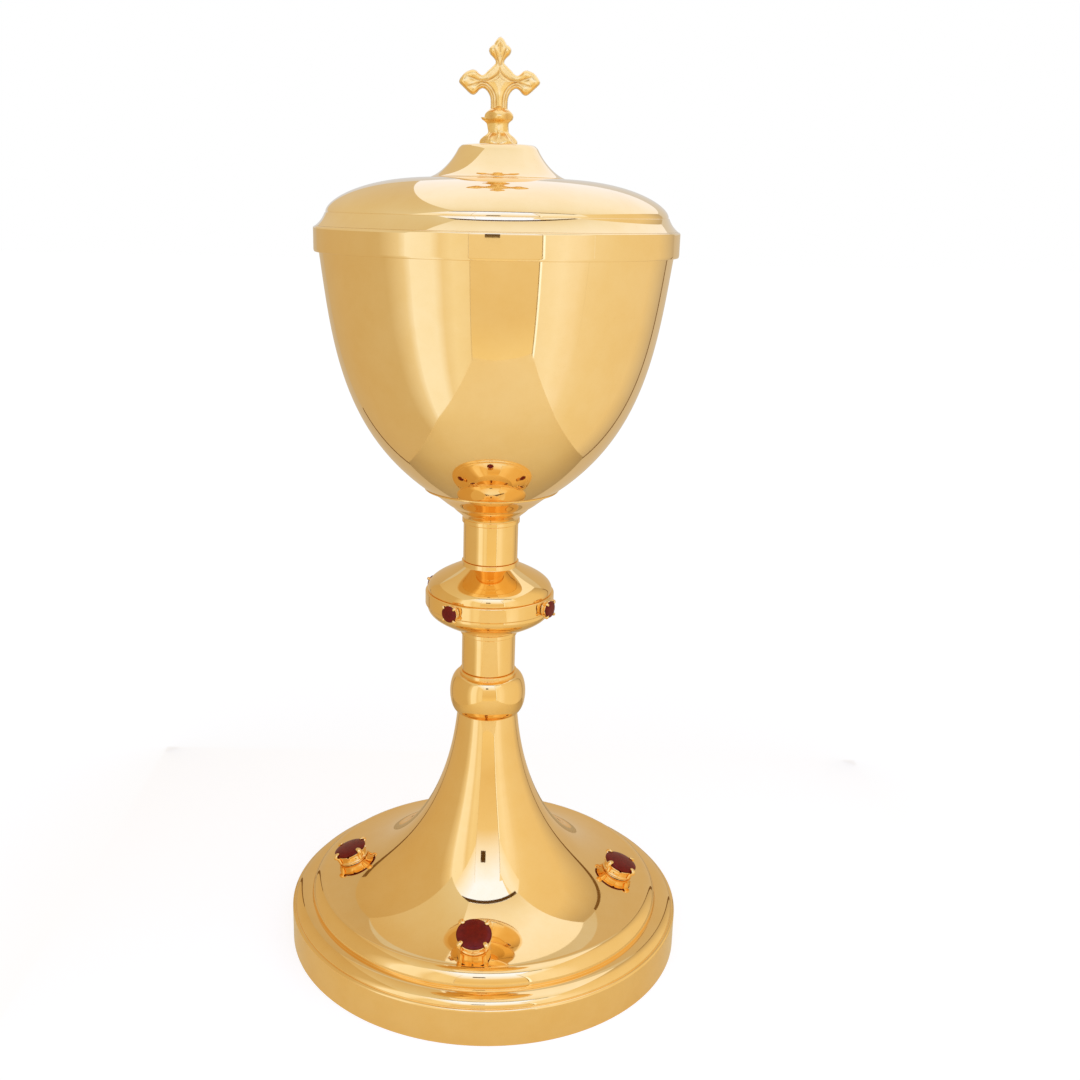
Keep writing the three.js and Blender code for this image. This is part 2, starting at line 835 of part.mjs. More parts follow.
const footSeat = onTrumpet(settingRadius);
settingRing(
  footSetting,
  ['front', 'right', 'back', 'left'],
  'foot',
  settingRadius,
  footSeat.level,
  footSeat.slope,
);
settingRing(
  knotSetting,
  ['front_left', 'front_right', 'back_right', 'back_left'],
  'knot',
  knotBandRadius,
  knotCentre,
  Math.PI / 2,
);

export default ciborium;
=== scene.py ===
# Covered cup on a stem: polished spun brass, a cast cross and dark red stones in claw settings.
# Lengths in the dictionaries are millimetres, from the middle of the foot on the floor.
import math

import bpy
import numpy as np
from mathutils import Matrix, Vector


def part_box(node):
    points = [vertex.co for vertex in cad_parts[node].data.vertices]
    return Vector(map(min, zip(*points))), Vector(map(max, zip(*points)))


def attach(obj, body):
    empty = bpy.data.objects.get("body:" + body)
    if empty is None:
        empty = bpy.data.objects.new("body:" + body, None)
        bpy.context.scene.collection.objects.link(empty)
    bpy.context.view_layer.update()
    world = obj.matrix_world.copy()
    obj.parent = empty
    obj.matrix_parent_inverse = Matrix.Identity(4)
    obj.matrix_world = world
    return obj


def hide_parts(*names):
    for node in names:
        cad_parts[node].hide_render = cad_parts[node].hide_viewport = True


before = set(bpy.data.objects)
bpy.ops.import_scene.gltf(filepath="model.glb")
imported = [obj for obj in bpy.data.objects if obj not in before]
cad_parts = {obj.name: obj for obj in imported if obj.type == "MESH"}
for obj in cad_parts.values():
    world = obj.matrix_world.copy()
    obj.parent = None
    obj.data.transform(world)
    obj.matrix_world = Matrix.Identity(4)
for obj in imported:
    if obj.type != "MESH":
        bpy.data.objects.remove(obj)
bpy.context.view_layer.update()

mm = 0.001
scene = bpy.context.scene
scene.view_settings.view_transform = "Standard"


# The camera stands where the photographer's stood: level with the lid, looking a little down.
camera = {
    "distance": 414.3,
    "height": 271.7,
    "pitch": 15.58,
    "roll": 1.12,
    "lens": 39.72,
    "shift": 0.0457,
}


def makeCamera():
    data = bpy.data.cameras.new("photoCamera")
    data.lens = camera["lens"]
    data.sensor_width = 36
    data.shift_x = camera["shift"]
    data.clip_start = 0.01
    data.clip_end = 50
    eye = bpy.data.objects.new("photoCamera", data)
    scene.collection.objects.link(eye)
    pitch = Matrix.Rotation(math.radians(90 - camera["pitch"]), 4, "X")
    roll = Matrix.Rotation(math.radians(camera["roll"]), 4, "Z")
    place = Matrix.Translation((0, -camera["distance"] * mm, camera["height"] * mm))
    eye.matrix_world = place @ pitch @ roll
    scene.camera = eye


makeCamera()
print("camera placed")


# Node helpers. A value is a plain number or colour, or a socket to link from.

def feed(tree, value, socket):
    if isinstance(value, tuple) and socket.type == "RGBA":
        value = (*value, 1)
    if isinstance(value, (int, float, tuple)):
        socket.default_value = value
    else:
        tree.links.new(value, socket)


def nodeOf(tree, kind, inputs=None, **settings):
    # A new node with its settings; its inputs are values by name or number
    node = tree.nodes.new(kind)
    for key, value in settings.items():
        setattr(node, key, value)
    for key, value in (inputs or {}).items():
        feed(tree, value, node.inputs[key])
    return node


def mathOf(tree, operation, *values):
    return nodeOf(tree, "ShaderNodeMath", dict(enumerate(values)), operation=operation).outputs[0]


def mixOf(tree, share, first, second):
    # Blends two colours
    node = nodeOf(tree, "ShaderNodeMix", {0: share}, data_type="RGBA")
    for value, socket in zip((first, second), [s for s in node.inputs if s.type == "RGBA"]):
        feed(tree, value, socket)
    return [s for s in node.outputs if s.type == "RGBA"][0]


def timesOf(tree, colour, factors):
    # A colour times a fixed colour
    return nodeOf(tree, "ShaderNodeVectorMath", {0: colour, 1: factors}, operation="MULTIPLY").outputs[0]


def rampOf(tree, value, low, high, fromLow=0.0, fromHigh=1.0):
    # Stretches a value from one range to another
    inputs = {"Value": value, "From Min": fromLow, "From Max": fromHigh, "To Min": low, "To Max": high}
    return nodeOf(tree, "ShaderNodeMapRange", inputs).outputs["Result"]


def noiseOf(tree, place, scale, detail=2.0, rough=0.5):
    inputs = {"Vector": place, "Scale": scale, "Detail": detail, "Roughness": rough}
    return nodeOf(tree, "ShaderNodeTexNoise", inputs).outputs["Fac"]


def placeOf(tree):
    return nodeOf(tree, "ShaderNodeTexCoord").outputs["Object"]


def splitOf(tree, place):
    return nodeOf(tree, "ShaderNodeSeparateXYZ", {0: place}).outputs


def blendOf(tree, value, stops):
    # Colours that blend from one stop to the next; a stop is a place in millimetres and a colour
    low, high = stops[0][0], stops[-1][0]
    node = nodeOf(tree, "ShaderNodeValToRGB", {0: rampOf(tree, value, 0, 1, low * mm, high * mm)})
    for place, colour in stops[1:-1]:
        node.color_ramp.elements.new((place - low) / (high - low))
    for mark, (place, colour) in zip(node.color_ramp.elements, stops):
        mark.color = (*colour, 1)
    return node.outputs[0]


def newGroup(name, key, value, outputs):
    # A node group with one number as its input
    tree = bpy.data.node_groups.new(name, "ShaderNodeTree")
    socket = tree.interface.new_socket(name=key, in_out="INPUT", socket_type="NodeSocketFloat")
    socket.default_value = value
    for output in outputs:
        tree.interface.new_socket(name=output, in_out="OUTPUT", socket_type="NodeSocketFloat")
    return tree, nodeOf(tree, "NodeGroupInput").outputs[key]


# Turned marks: what a lathe and a polishing wheel leave on a spun piece. The pattern runs round
# the axis: fine noise over radius and height, drawn out along the turn, plus a slow waviness.
def turnedMarks():
    tree, lines = newGroup("turnedMarks", "Lines", 900.0, ("Line", "Wave", "Smear"))
    place = placeOf(tree)
    x, y, z = splitOf(tree, place)
    squares = mathOf(tree, "ADD", mathOf(tree, "POWER", x, 2), mathOf(tree, "POWER", y, 2))
    turn = mathOf(tree, "SINE", mathOf(tree, "ARCTAN2", y, x))
    along = nodeOf(tree, "ShaderNodeCombineXYZ", {
        0: mathOf(tree, "MULTIPLY", mathOf(tree, "SQRT", squares), lines),
        1: mathOf(tree, "MULTIPLY", z, lines),
        2: mathOf(tree, "MULTIPLY", turn, 0.6),
    })
    nodeOf(tree, "NodeGroupOutput", {
        "Line": noiseOf(tree, along.outputs[0], 1.0, 3.0, 0.6),
        "Wave": noiseOf(tree, place, 22.0, 1.0),
        "Smear": noiseOf(tree, place, 70.0, 5.0, 0.65),
    })
    return tree


# Cast skin: soft grain and pits, and painted shade in hollows, where the colour is darkened to stand for
# shade. Depth comes from the piece's own attribute, 0 on open faces and 1 in a crease.
def castSkin():
    tree, grain = newGroup("castSkin", "Grain", 800.0, ("Grain", "HollowShade", "Patch"))
    place = placeOf(tree)
    patch = noiseOf(tree, place, 420.0, 3.0)
    depth = nodeOf(tree, "ShaderNodeAttribute", attribute_name="creviceShade").outputs["Fac"]
    mixed = mathOf(tree, "MULTIPLY", depth, rampOf(tree, patch, 0.7, 1.3, 0.3, 0.7))
    nodeOf(tree, "NodeGroupOutput", {
        "Grain": noiseOf(tree, place, grain, 1.0),
        "HollowShade": nodeOf(tree, "ShaderNodeClamp", {"Value": mixed}).outputs[0],
        "Patch": patch,
    })
    return tree


marks = turnedMarks()
skin = castSkin()


def newMaterial(name):
    material = bpy.data.materials.new(name)
    material.use_nodes = True
    material.node_tree.nodes.clear()
    return material, material.node_tree


def surfaced(material, inputs):
    # Gives a material its one Principled shader
    surface = nodeOf(material.node_tree, "ShaderNodeBsdfPrincipled", inputs)
    nodeOf(material.node_tree, "ShaderNodeOutputMaterial", {"Surface": surface.outputs[0]})
    return material


def mottleOf(tree, mask, first, second, low=0.35, high=0.65):
    # Two tones, by a mask that is stretched from low and high to 0 and 1
    return mixOf(tree, rampOf(tree, mask, 0.0, 1.0, low, high), first, second)


def bumpOf(tree, height, distance):
    return nodeOf(tree, "ShaderNodeBump", {"Height": height, "Distance": distance}).outputs[0]


# The bowl and lid are a paler gold than the foot, and the stem and cast pieces are deeper still
goldTone = {
    "pale": ((0.965, 0.718, 0.368), (0.945, 0.682, 0.322)),
    "middle": ((0.975, 0.685, 0.308), (0.957, 0.649, 0.265)),
    "deep": ((0.978, 0.672, 0.280), (0.960, 0.636, 0.238)),
    "cast": ((0.990, 0.692, 0.285), (0.970, 0.645, 0.225)),
    "inside": ((0.955, 0.700, 0.345), (0.880, 0.600, 0.270)),
    # The colour that painted shade darkens the cast gold towards, in creases and hollows
    "crease": (0.62, 0.30, 0.065),
}
stoneTone = ((0.190, 0.012, 0.008), (0.130, 0.009, 0.007))
steelTone = ((0.52, 0.51, 0.48), (0.36, 0.35, 0.33))


def polishedGold(name, tone):
    # Mirror-bright spun brass with a gold finish: faint wheel marks, smears and a slow waviness
    material, tree = newMaterial(name)
    line, wave, smear = nodeOf(tree, "ShaderNodeGroup", node_tree=marks).outputs
    dull = mathOf(tree, "MULTIPLY", smear, line)
    height = mathOf(tree, "ADD", mathOf(tree, "MULTIPLY", line, 0.012), wave)
    return surfaced(material, {
        "Base Color": mottleOf(tree, smear, *goldTone[tone]),
        "Metallic": 1,
        "Roughness": rampOf(tree, dull, 0.02, 0.06, 0.12, 0.42),
        "Normal": bumpOf(tree, height, 0.00008),
    })


def satinGold():
    # The inside of the cup and the lid: spun, wiped to a soft sheen, with plain lathe rings
    material, tree = newMaterial("satinGold")
    line, wave, smear = nodeOf(tree, "ShaderNodeGroup", {"Lines": 1600}, node_tree=marks).outputs
    height = mathOf(tree, "ADD", mathOf(tree, "MULTIPLY", line, 0.35), wave)
    return surfaced(material, {
        "Base Color": mottleOf(tree, line, *goldTone["inside"], 0.3, 0.7),
        "Metallic": 1,
        "Roughness": rampOf(tree, smear, 0.22, 0.34, 0.3, 0.7),
        "Normal": bumpOf(tree, height, 0.00003),
    })


def castGold(name, tone, polish, grainDepth):
    # Cast pieces: gold over a soft grain, rougher in hollows where the polish did not reach, with painted
    # shade that darkens the colour in creases and hollows. Polish is the roughness of its bright and of its
    # dull patches.
    material, tree = newMaterial(name)
    grain, hollowShade, patch = nodeOf(tree, "ShaderNodeGroup", node_tree=skin).outputs
    colour = mottleOf(tree, patch, *goldTone[tone])
    dull = mathOf(tree, "MULTIPLY", hollowShade, 0.2)
    return surfaced(material, {
        # Painted shade: the colour darkens towards the crease colour by the depth of the hollow
        "Base Color": mixOf(tree, hollowShade, colour, goldTone["crease"]),
        "Metallic": 1,
        "Roughness": mathOf(tree, "ADD", rampOf(tree, patch, *polish, 0.3, 0.7), dull),
        "Normal": bumpOf(tree, grain, grainDepth),
    })


def redStone():
    # Dark red glass stone with a foiled back: even colour, a few cloudy flecks, a soft surface
    material, tree = newMaterial("redStone")
    place = placeOf(tree)
    cloud = noiseOf(tree, place, 500.0, 4.0, 0.6)
    return surfaced(material, {
        "Base Color": mottleOf(tree, cloud, *stoneTone, 0.35, 0.7),
        "Specular IOR Level": 0.14,
        "Roughness": rampOf(tree, cloud, 0.14, 0.26, 0.3, 0.7),
        "Normal": bumpOf(tree, noiseOf(tree, place, 260.0), 0.00005),
    })


def turnedSteel():
    # Rod, nuts and washers: grey plated steel with tool marks
    material, tree = newMaterial("turnedSteel")
    grain, _, patch = nodeOf(tree, "ShaderNodeGroup", {"Grain": 2600}, node_tree=skin).outputs
    return surfaced(material, {
        "Base Color": mottleOf(tree, patch, *steelTone, 0.3, 0.7),
        "Metallic": 1,
        "Roughness": rampOf(tree, grain, 0.26, 0.42, 0.3, 0.7),
        "Normal": bumpOf(tree, grain, 0.00003),
    })


gold = polishedGold("polishedGold", "pale")
footGold = polishedGold("footGold", "middle")
deepGold = polishedGold("deepGold", "deep")
satin = satinGold()
cast = castGold("castGold", "cast", (0.17, 0.27), 0.00002)
clawGold = castGold("clawGold", "middle", (0.05, 0.12), 0.000006)
garnet = redStone()
steel = turnedSteel()
print("materials made")


# Mesh helpers. A part is a dictionary of points in millimetres, four-sided and three-sided
# faces, normals, a finish for each face and a crevice depth for each point, which sets its painted shade.

def vertexNormals(points, quads, tris):
    # The sum over the faces round each point; a three-sided face counts its last corner twice
    total = np.zeros_like(points)
    for faces in (quads, tris):
        a, b, c, d = (points[faces[:, k]] for k in (0, 1, 2, -1))
        for corner in faces.T:
            np.add.at(total, corner, np.cross(c - a, d - b))
    length = np.linalg.norm(total, axis=1, keepdims=True)
    return total / np.maximum(length, 1e-12)


def signedVolume(points, quads, tris):
    faces = np.vstack([quads[:, [0, 1, 2]], quads[:, [0, 2, 3]], tris])
    a, b, c = points[faces[:, 0]], points[faces[:, 1]], points[faces[:, 2]]
    return np.einsum("ij,ij->i", a, np.cross(b, c)).sum()


def gridPart(grid, poles=(), normals=None, finish=None, creviceShade=None):
    # Faces over a grid of points [around, along]. Around closes on itself. Along closes too, unless two
    # poles are given: single points that close the low and the high end.
    around, along = grid.shape[:2]
    index = np.arange(around * along).reshape(around, along)
    after = np.roll(index, -1, axis=0)
    quads = np.stack([index, after, np.roll(after, -1, axis=1), np.roll(index, -1, axis=1)], axis=-1)
    tris = np.zeros((0, 3), int)
    if poles:
        quads = quads[:, :-1]
        tip = np.full(around, index.size)
        tris = np.concatenate([np.stack([tip, after[:, 0], index[:, 0]], axis=1),
                               np.stack([index[:, -1], after[:, -1], tip + 1], axis=1)])
    columns = quads.shape[1]
    quads = quads.reshape(-1, 4)
    points = np.vstack([grid.reshape(-1, 3), *poles])
    if normals is not None:
        upright = [(0, 0, -1), (0, 0, 1)]
        normals = np.vstack([normals.reshape(-1, 3), *upright[:len(poles)]])
    else:
        if signedVolume(points, quads, tris) < 0:
            quads, tris = quads[:, ::-1], tris[:, ::-1]
        normals = vertexNormals(points, quads, tris)
    if finish is None:
        finish = np.zeros(columns, int)
    faceFinish = np.concatenate([np.tile(finish[:columns], around), np.zeros(len(tris), int)])
    if poles:
        faceFinish[len(quads) + around:] = finish[-1]
    depth = np.zeros(len(points))
    if creviceShade is not None:
        depth[:index.size] = creviceShade.ravel()
    return {"points": points, "quads": quads, "tris": tris, "normals": normals,
            "finish": faceFinish, "creviceShade": depth}


def movedPart(part, matrix):
    # The same part turned and moved by a 4 by 4 matrix
    points = part["points"] @ matrix[:3, :3].T + matrix[:3, 3]
    return {**part, "points": points, "normals": part["normals"] @ matrix[:3, :3].T}


def buildPiece(name, node, parts, finishes, body="cup_and_foot"):
    starts = np.cumsum([0] + [len(part["points"]) for part in parts])
    points, normals, depths = (np.concatenate([part[key] for part in parts])
                               for key in ("points", "normals", "creviceShade"))
    quads, tris = (np.concatenate([part[key] + start for part, start in zip(parts, starts)])
                   for key in ("quads", "tris"))
    quadFinish = [part["finish"][:len(part["quads"])] for part in parts]
    triFinish = [part["finish"][len(part["quads"]):] for part in parts]
    corners = np.concatenate([quads.ravel(), tris.ravel()]).astype(np.int32)
    sizes = np.concatenate([np.full(len(quads), 4), np.full(len(tris), 3)])
    mesh = bpy.data.meshes.new(name)
    mesh.vertices.add(len(points))
    mesh.vertices.foreach_set("co", (points * mm).ravel())
    mesh.loops.add(len(corners))
    mesh.loops.foreach_set("vertex_index", corners)
    mesh.polygons.add(len(sizes))
    mesh.polygons.foreach_set("loop_start", (np.cumsum(sizes) - sizes).astype(np.int32))
    mesh.polygons.foreach_set("use_smooth", np.ones(len(sizes), bool))
    for finish in finishes:
        mesh.materials.append(finish)
    mesh.polygons.foreach_set("material_index", np.concatenate(quadFinish + triFinish).astype(np.int32))
    mesh.update(calc_edges=True)
    mesh.normals_split_custom_set_from_vertices(normals)
    # Crevice depth for each point: how much painted shade the cast gold puts there
    mesh.attributes.new("creviceShade", "FLOAT", "POINT").data.foreach_set("value", depths)
    piece = bpy.data.objects.new(name, mesh)
    scene.collection.objects.link(piece)
    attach(piece, body)
    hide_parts(node)


# Profile helpers. A profile is a list of stretches, each an array of (radius, height) points.

def heading(degrees):
    turn = math.radians(degrees)
    return np.array([math.cos(turn), math.sin(turn)])


def bend(low, lowHeading, lowPull, high, highHeading, highPull, count=48):
    # Cubic curve between two points, with a heading in degrees above level and a pull at each end
    low, high = np.array(low, float), np.array(high, float)
    second = low + heading(lowHeading) * lowPull
    third = high - heading(highHeading) * highPull
    t = np.linspace(0, 1, count)[:, None]
    return (1 - t) ** 3 * low + 3 * t * (1 - t) ** 2 * second + 3 * t * t * (1 - t) * third + t ** 3 * high


def quarterRound(low, high, count=20):
    # Quarter of an ellipse that leaves its low outer end upright and reaches its high end level
    turn = np.linspace(0, math.pi / 2, count)
    radius = high[0] + (low[0] - high[0]) * np.cos(turn)
    level = low[1] + (high[1] - low[1]) * np.sin(turn)
    return np.stack([radius, level], axis=1)


def straights(*points):
    # Straight stretches from each point to the next
    points = np.array(points, float)
    return [points[k:k + 2] for k in range(len(points) - 1)]


def ringProfile(outer, inner, low, high):
    return straights((outer, low), (outer, high), (inner, high), (inner, low), (outer, low))


def inset(points, distance):
    # The same line moved sideways by a distance, towards its left
    along = np.gradient(points, axis=0)
    along /= np.linalg.norm(along, axis=1, keepdims=True)
    return points + distance * np.stack([-along[:, 1], along[:, 0]], axis=1)


def arcLength(points):
    return np.concatenate([[0], np.cumsum(np.linalg.norm(np.diff(points, axis=0), axis=1))])


def shortened(points, fromStart, fromEnd):
    run = arcLength(points)
    first, last = fromStart, run[-1] - fromEnd
    ends = [[np.interp(s, run, points[:, k]) for k in (0, 1)] for s in (first, last)]
    kept = points[(run > first + 1e-6) & (run < last - 1e-6)]
    return np.vstack([ends[:1], kept, ends[1:]])


def tangents(points):
    run = arcLength(points)
    order = 2 if len(points) > 2 else 1
    along = np.stack([np.gradient(points[:, k], run, edge_order=order) for k in (0, 1)], axis=1)
    return along / np.linalg.norm(along, axis=1, keepdims=True)


def softened(stretches, soft, closed, finishes):
    # Cuts every stretch back a little at its corners and joins the ends with small arcs. Soft is the
    # cut for every corner, or a dictionary by corner with the cut of the others under -1.
    count = len(stretches)
    lengths = [arcLength(s)[-1] for s in stretches]
    cuts = []
    for k in range(count):
        follows = (k + 1) % count
        size = soft.get(k, soft[-1]) if isinstance(soft, dict) else soft
        cut = min(size, 0.42 * lengths[k], 0.42 * lengths[follows])
        cuts.append(cut if closed or k < count - 1 else 0)
    points, along, finish = [], [], []
    trimmed = [shortened(s, cuts[k - 1] if closed or k else 0, cuts[k]) for k, s in enumerate(stretches)]
    for k in range(count):
        points.append(trimmed[k])
        along.append(tangents(trimmed[k]))
        finish.append(np.full(len(trimmed[k]), finishes[k]))
        if cuts[k]:
            corner = stretches[k][-1]
            before, after = trimmed[k][-1], trimmed[(k + 1) % count][0]
            t = np.linspace(0, 1, 7)[1:-1, None]
            points.append((1 - t) ** 2 * before + 2 * t * (1 - t) * corner + t * t * after)
            turn = (1 - t) * (corner - before) + t * (after - corner)
            along.append(turn / np.linalg.norm(turn, axis=1, keepdims=True))
            finish.append(np.full(5, finishes[k]))
    return np.vstack(points), np.vstack(along), np.concatenate(finish)


def turnsOf(sides):
    return 2 * math.pi * np.arange(sides)[:, None] / sides


def roundAxis(radius, level, turn):
    # Points round the axis: x = r cos a, y = r sin a, z = height
    radius, level = radius + 0 * turn, level + 0 * turn
    return np.stack([radius * np.cos(turn), radius * np.sin(turn), level], axis=-1)


def spunPart(stretches, soft=0.2, sides=240, poles=False, inside=()):
    # A profile carried round the axis. The stretches climb the outside and come down the inside.
    # Those numbered in inside get the second finish.
    finishes = [1 if k in inside else 0 for k in range(len(stretches))]
    profile, along, finish = softened(stretches, soft, not poles, finishes)
    ends = ()
    if poles:
        ends = ((0, 0, profile[0, 1]), (0, 0, profile[-1, 1]))
        profile, along, finish = profile[1:-1], along[1:-1], finish[:-1]
    grid = roundAxis(profile[:, 0], profile[:, 1], turnsOf(sides))
    normals = roundAxis(along[:, 1], -along[:, 0], turnsOf(sides))
    return gridPart(grid, ends, normals=normals, finish=finish)


def spinPiece(name, node, stretches, finishes, body="cup_and_foot", slot="gold", **shape):
    buildPiece(name, node, [spunPart(stretches, **shape)], finishes, body)


# Foot: a skirt with a hem, two rolled mouldings and a trumpet drawn up to the stem
foot = {
    "radius": 74.0, "skirtTop": 13.75, "skirtEdge": 0.87, "hem": 3.4, "sheet": 1.3,
    "lowRollOut": (72.88, 13.75), "lowRollIn": (66.75, 16.69),
    "highRollOut": (66.5, 16.69), "highRollIn": (61.2, 22.06),
    "neck": (11.2, 90.4), "cap": 1.6, "rodHole": 3.3,
}


def trumpetCurve(count=72):
    return bend(foot["highRollIn"], 170.8, 31.7, foot["neck"], 94.9, 34.4, count)


def makeFoot():
    f = foot
    radius, top, edge, sheet = f["radius"], f["skirtTop"], f["skirtEdge"], f["sheet"]
    neckRadius, neckLevel = f["neck"]
    cap = neckLevel - f["cap"]
    trumpet = trumpetCurve()
    lining = inset(trumpet, sheet)[::-1]
    lining = lining[lining[:, 1] < cap - sheet]
    rollRadius = f["lowRollIn"][0] - sheet
    outside = [
        *straights((radius, 0), (radius, top - edge)),
        quarterRound((radius, top - edge), (radius - edge, top)),
        *straights((radius - edge, top), f["lowRollOut"]),
        quarterRound(f["lowRollOut"], f["lowRollIn"], 28),
        *straights(f["lowRollIn"], f["highRollOut"]),
        quarterRound(f["highRollOut"], f["highRollIn"], 28),
        trumpet,
    ]
    inside = [
        *straights(f["neck"], (f["rodHole"], neckLevel), (f["rodHole"], cap), (neckRadius - sheet, cap),
                   lining[0]),
        lining,
        *straights(lining[-1], (rollRadius, f["lowRollIn"][1]), (rollRadius, f["lowRollIn"][1] - sheet),
                   (radius - edge - sheet, top - sheet), (radius - sheet, top - edge - sheet),
                   (radius - sheet, sheet), (radius - f["hem"], sheet), (radius - f["hem"], 0), (radius, 0)),
    ]
    hidden = range(len(outside), len(outside) + len(inside) - 2)
    spinPiece("footShell", "foot_shell", [*outside, *inside], [footGold, satin], soft=0.18, inside=hidden)


# Stem: a bead with a thin collar, two equal tubes and a knot with a flat band round it
stem = {
    "beadBase": 90.4, "beadHeight": 15.0, "beadEnd": 10.9, "beadRadius": 14.05,
    "collarRadius": 10.6, "collarHeight": 1.3, "bore": 8.33,
    "tubeRadius": 9.83, "lowerTube": (106.7, 121.0), "upperTube": (149.0, 163.3),
    "knotCentre": 135.0, "knotHalf": 14.0, "knotRadius": 22.5, "knotCollar": 10.3, "knotCollarHeight": 1.6,
    "bandHalf": 2.7, "bandRadius": 23.4, "bandInside": 20.4, "bandEdge": 0.35, "wall": 1.3,
}


def makeBead():
    s = stem
    turn = np.linspace(0, math.pi, 48)
    radius = s["beadEnd"] + (s["beadRadius"] - s["beadEnd"]) * np.sin(turn)
    level = s["beadBase"] + s["beadHeight"] * (1 - np.cos(turn)) / 2
    roll = np.stack([radius, level], axis=1)
    top = s["beadBase"] + s["beadHeight"]
    rim = top + s["collarHeight"]
    stretches = [
        *straights((s["bore"], s["beadBase"]), (s["beadEnd"], s["beadBase"])),
        roll,
        *straights((s["beadEnd"], top), (s["collarRadius"], top), (s["collarRadius"], rim),
                   (s["bore"], rim), (s["bore"], s["beadBase"])),
    ]
    spinPiece("lowerBead", "lower_bead", stretches, [deepGold], soft=0.3)


def makeTube(name, node, low, high):
    spinPiece(name, node, ringProfile(stem["tubeRadius"], stem["bore"], low, high), [deepGold], soft=0.45)


def makeKnot():
    s = stem
    half, shoulder = s["knotHalf"], s["knotHalf"] - s["knotCollarHeight"]
    side = bend((s["knotRadius"], s["bandHalf"]), 78, 4.0, (s["knotCollar"], shoulder), 153, 7.5, 40)
    lining = inset(side, s["wall"])[::-1]
    lining = lining[lining[:, 1] > s["bandHalf"]]
    upper = [
        side,
        *straights((s["knotCollar"], shoulder), (s["knotCollar"], half), (s["bore"], half),
                   (s["bore"], shoulder - s["wall"]), lining[0]),
        lining,
        *straights(lining[-1], (lining[-1][0], s["bandHalf"]), (s["knotRadius"], s["bandHalf"])),
    ]
    lower = [stretch[::-1] * (1, -1) for stretch in upper[::-1]]
    centre = np.array([0, s["knotCentre"]])
    halves = (("knotUpper", "knot_upper_half", upper), ("knotLower", "knot_lower_half", lower))
    for name, node, stretches in halves:
        spinPiece(name, node, [stretch + centre for stretch in stretches], [deepGold])
    inner, outer, edge, rise = s["bandInside"], s["bandRadius"], s["bandEdge"], s["bandHalf"]
    band = straights((inner, -rise), (outer - edge, -rise), (outer, -rise + edge), (outer, rise - edge),
                     (outer - edge, rise), (inner, rise), (inner, -rise))
    spinPiece("knotBand", "knot_band", [stretch + centre for stretch in band], [deepGold], soft=0.25)


makeFoot()
makeBead()
makeTube("lowerTube", "lower_stem_tube", *stem["lowerTube"])
makeTube("upperTube", "upper_stem_tube", *stem["upperTube"])
makeKnot()
print("foot and stem made")


# Bowl and the cup-shaped collar under it
bowl = {
    "flat": (9.0, 171.3), "neck": (24.2, 176.25), "rim": (59.8, 259.5), "wall": 1.2,
    "collarFoot": (10.1, 163.3), "ring": (10.35, 1.4), "crease": (14.0, 169.1),
    "collarLip": 24.1, "lipLevel": 176.27, "lipHeight": 0.85, "lipProud": 0.9, "seatLap": 0.06,
}


def bowlUnder(count):
    return bend(bowl["flat"], 0, 4.95, bowl["neck"], 36.7, 4.95, count)


def bowlSide(count):
    return bend(bowl["neck"], 36.7, 36.8, bowl["rim"], 82.6, 30.6, count)


def makeCollar():
    # A cup with a crease above its foot; its lip lies against the bowl
    b = bowl
    lipLow = b["lipLevel"] - b["lipHeight"]
    footRadius, footLevel = b["collarFoot"]
    ringRadius, ringTop = b["ring"][0], footLevel + b["ring"][1]
    lipStart = (b["collarLip"] - b["lipProud"], lipLow)
    lower = bend((footRadius, ringTop + 0.1), 80, 1.6, b["crease"], 54, 2.2, 20)
    upper = bend(b["crease"], 27, 3.2, lipStart, 25, 4.6, 30)
    under = bowlUnder(16) + (0, b["seatLap"])
    under = under[under[:, 0] < b["collarLip"] - 0.3]
    stretches = [
        *straights((ringRadius, footLevel), (ringRadius, ringTop), (footRadius, ringTop + 0.1)),
        lower,
        upper,
        *straights(lipStart, (b["collarLip"] - 0.15, lipLow + 0.1), (b["collarLip"], b["lipLevel"] - 0.12),
                   under[-1]),
        under[::-1],
        *straights(under[0], (stem["bore"], under[0][1]), (stem["bore"], footLevel),
                   (ringRadius, footLevel)),
    ]
    spinPiece("bowlCollar", "bowl_collar", stretches, [deepGold])


def makeBowl():
    b = bowl
    outer = np.vstack([bowlUnder(14), bowlSide(110)[1:]])
    lining = inset(outer, b["wall"])[::-1]
    lining[0, 1] = b["rim"][1]
    stretches = [
        *straights((0, b["flat"][1]), b["flat"]),
        outer,
        *straights(b["rim"], lining[0]),
        lining,
        *straights(lining[-1], (0, lining[-1][1])),
    ]
    spinPiece("cupBowl", "cup_bowl", stretches, [gold, satin], soft=0.5, sides=288, poles=True,
              inside=(3, 4))


makeCollar()
makeBowl()
print("bowl made")


# Lid: a band that laps the rim, a ring that hangs in the mouth, a dome on a cove, and a knob
lid = {
    "bore": 60.1, "bandRadius": 61.2, "bandBase": 256.8, "bandTop": 265.0, "bandRound": 0.7,
    "bandCurl": 0.2, "ledge": (58.6, 259.8), "shoulder": (57.35, 269.25), "shoulderStep": 0.3,
    "flat": (21.0, 281.1), "wall": 1.1, "studHole": 2.3,
    "flangeWall": 1.1, "flangePlay": 0.55, "slotHeight": 1.2,
    "knobRadius": 22.3, "knobEdge": 0.2, "knobTop": (13.2, 290.5), "knobShoulder": 12.0, "top": 291.6,
}


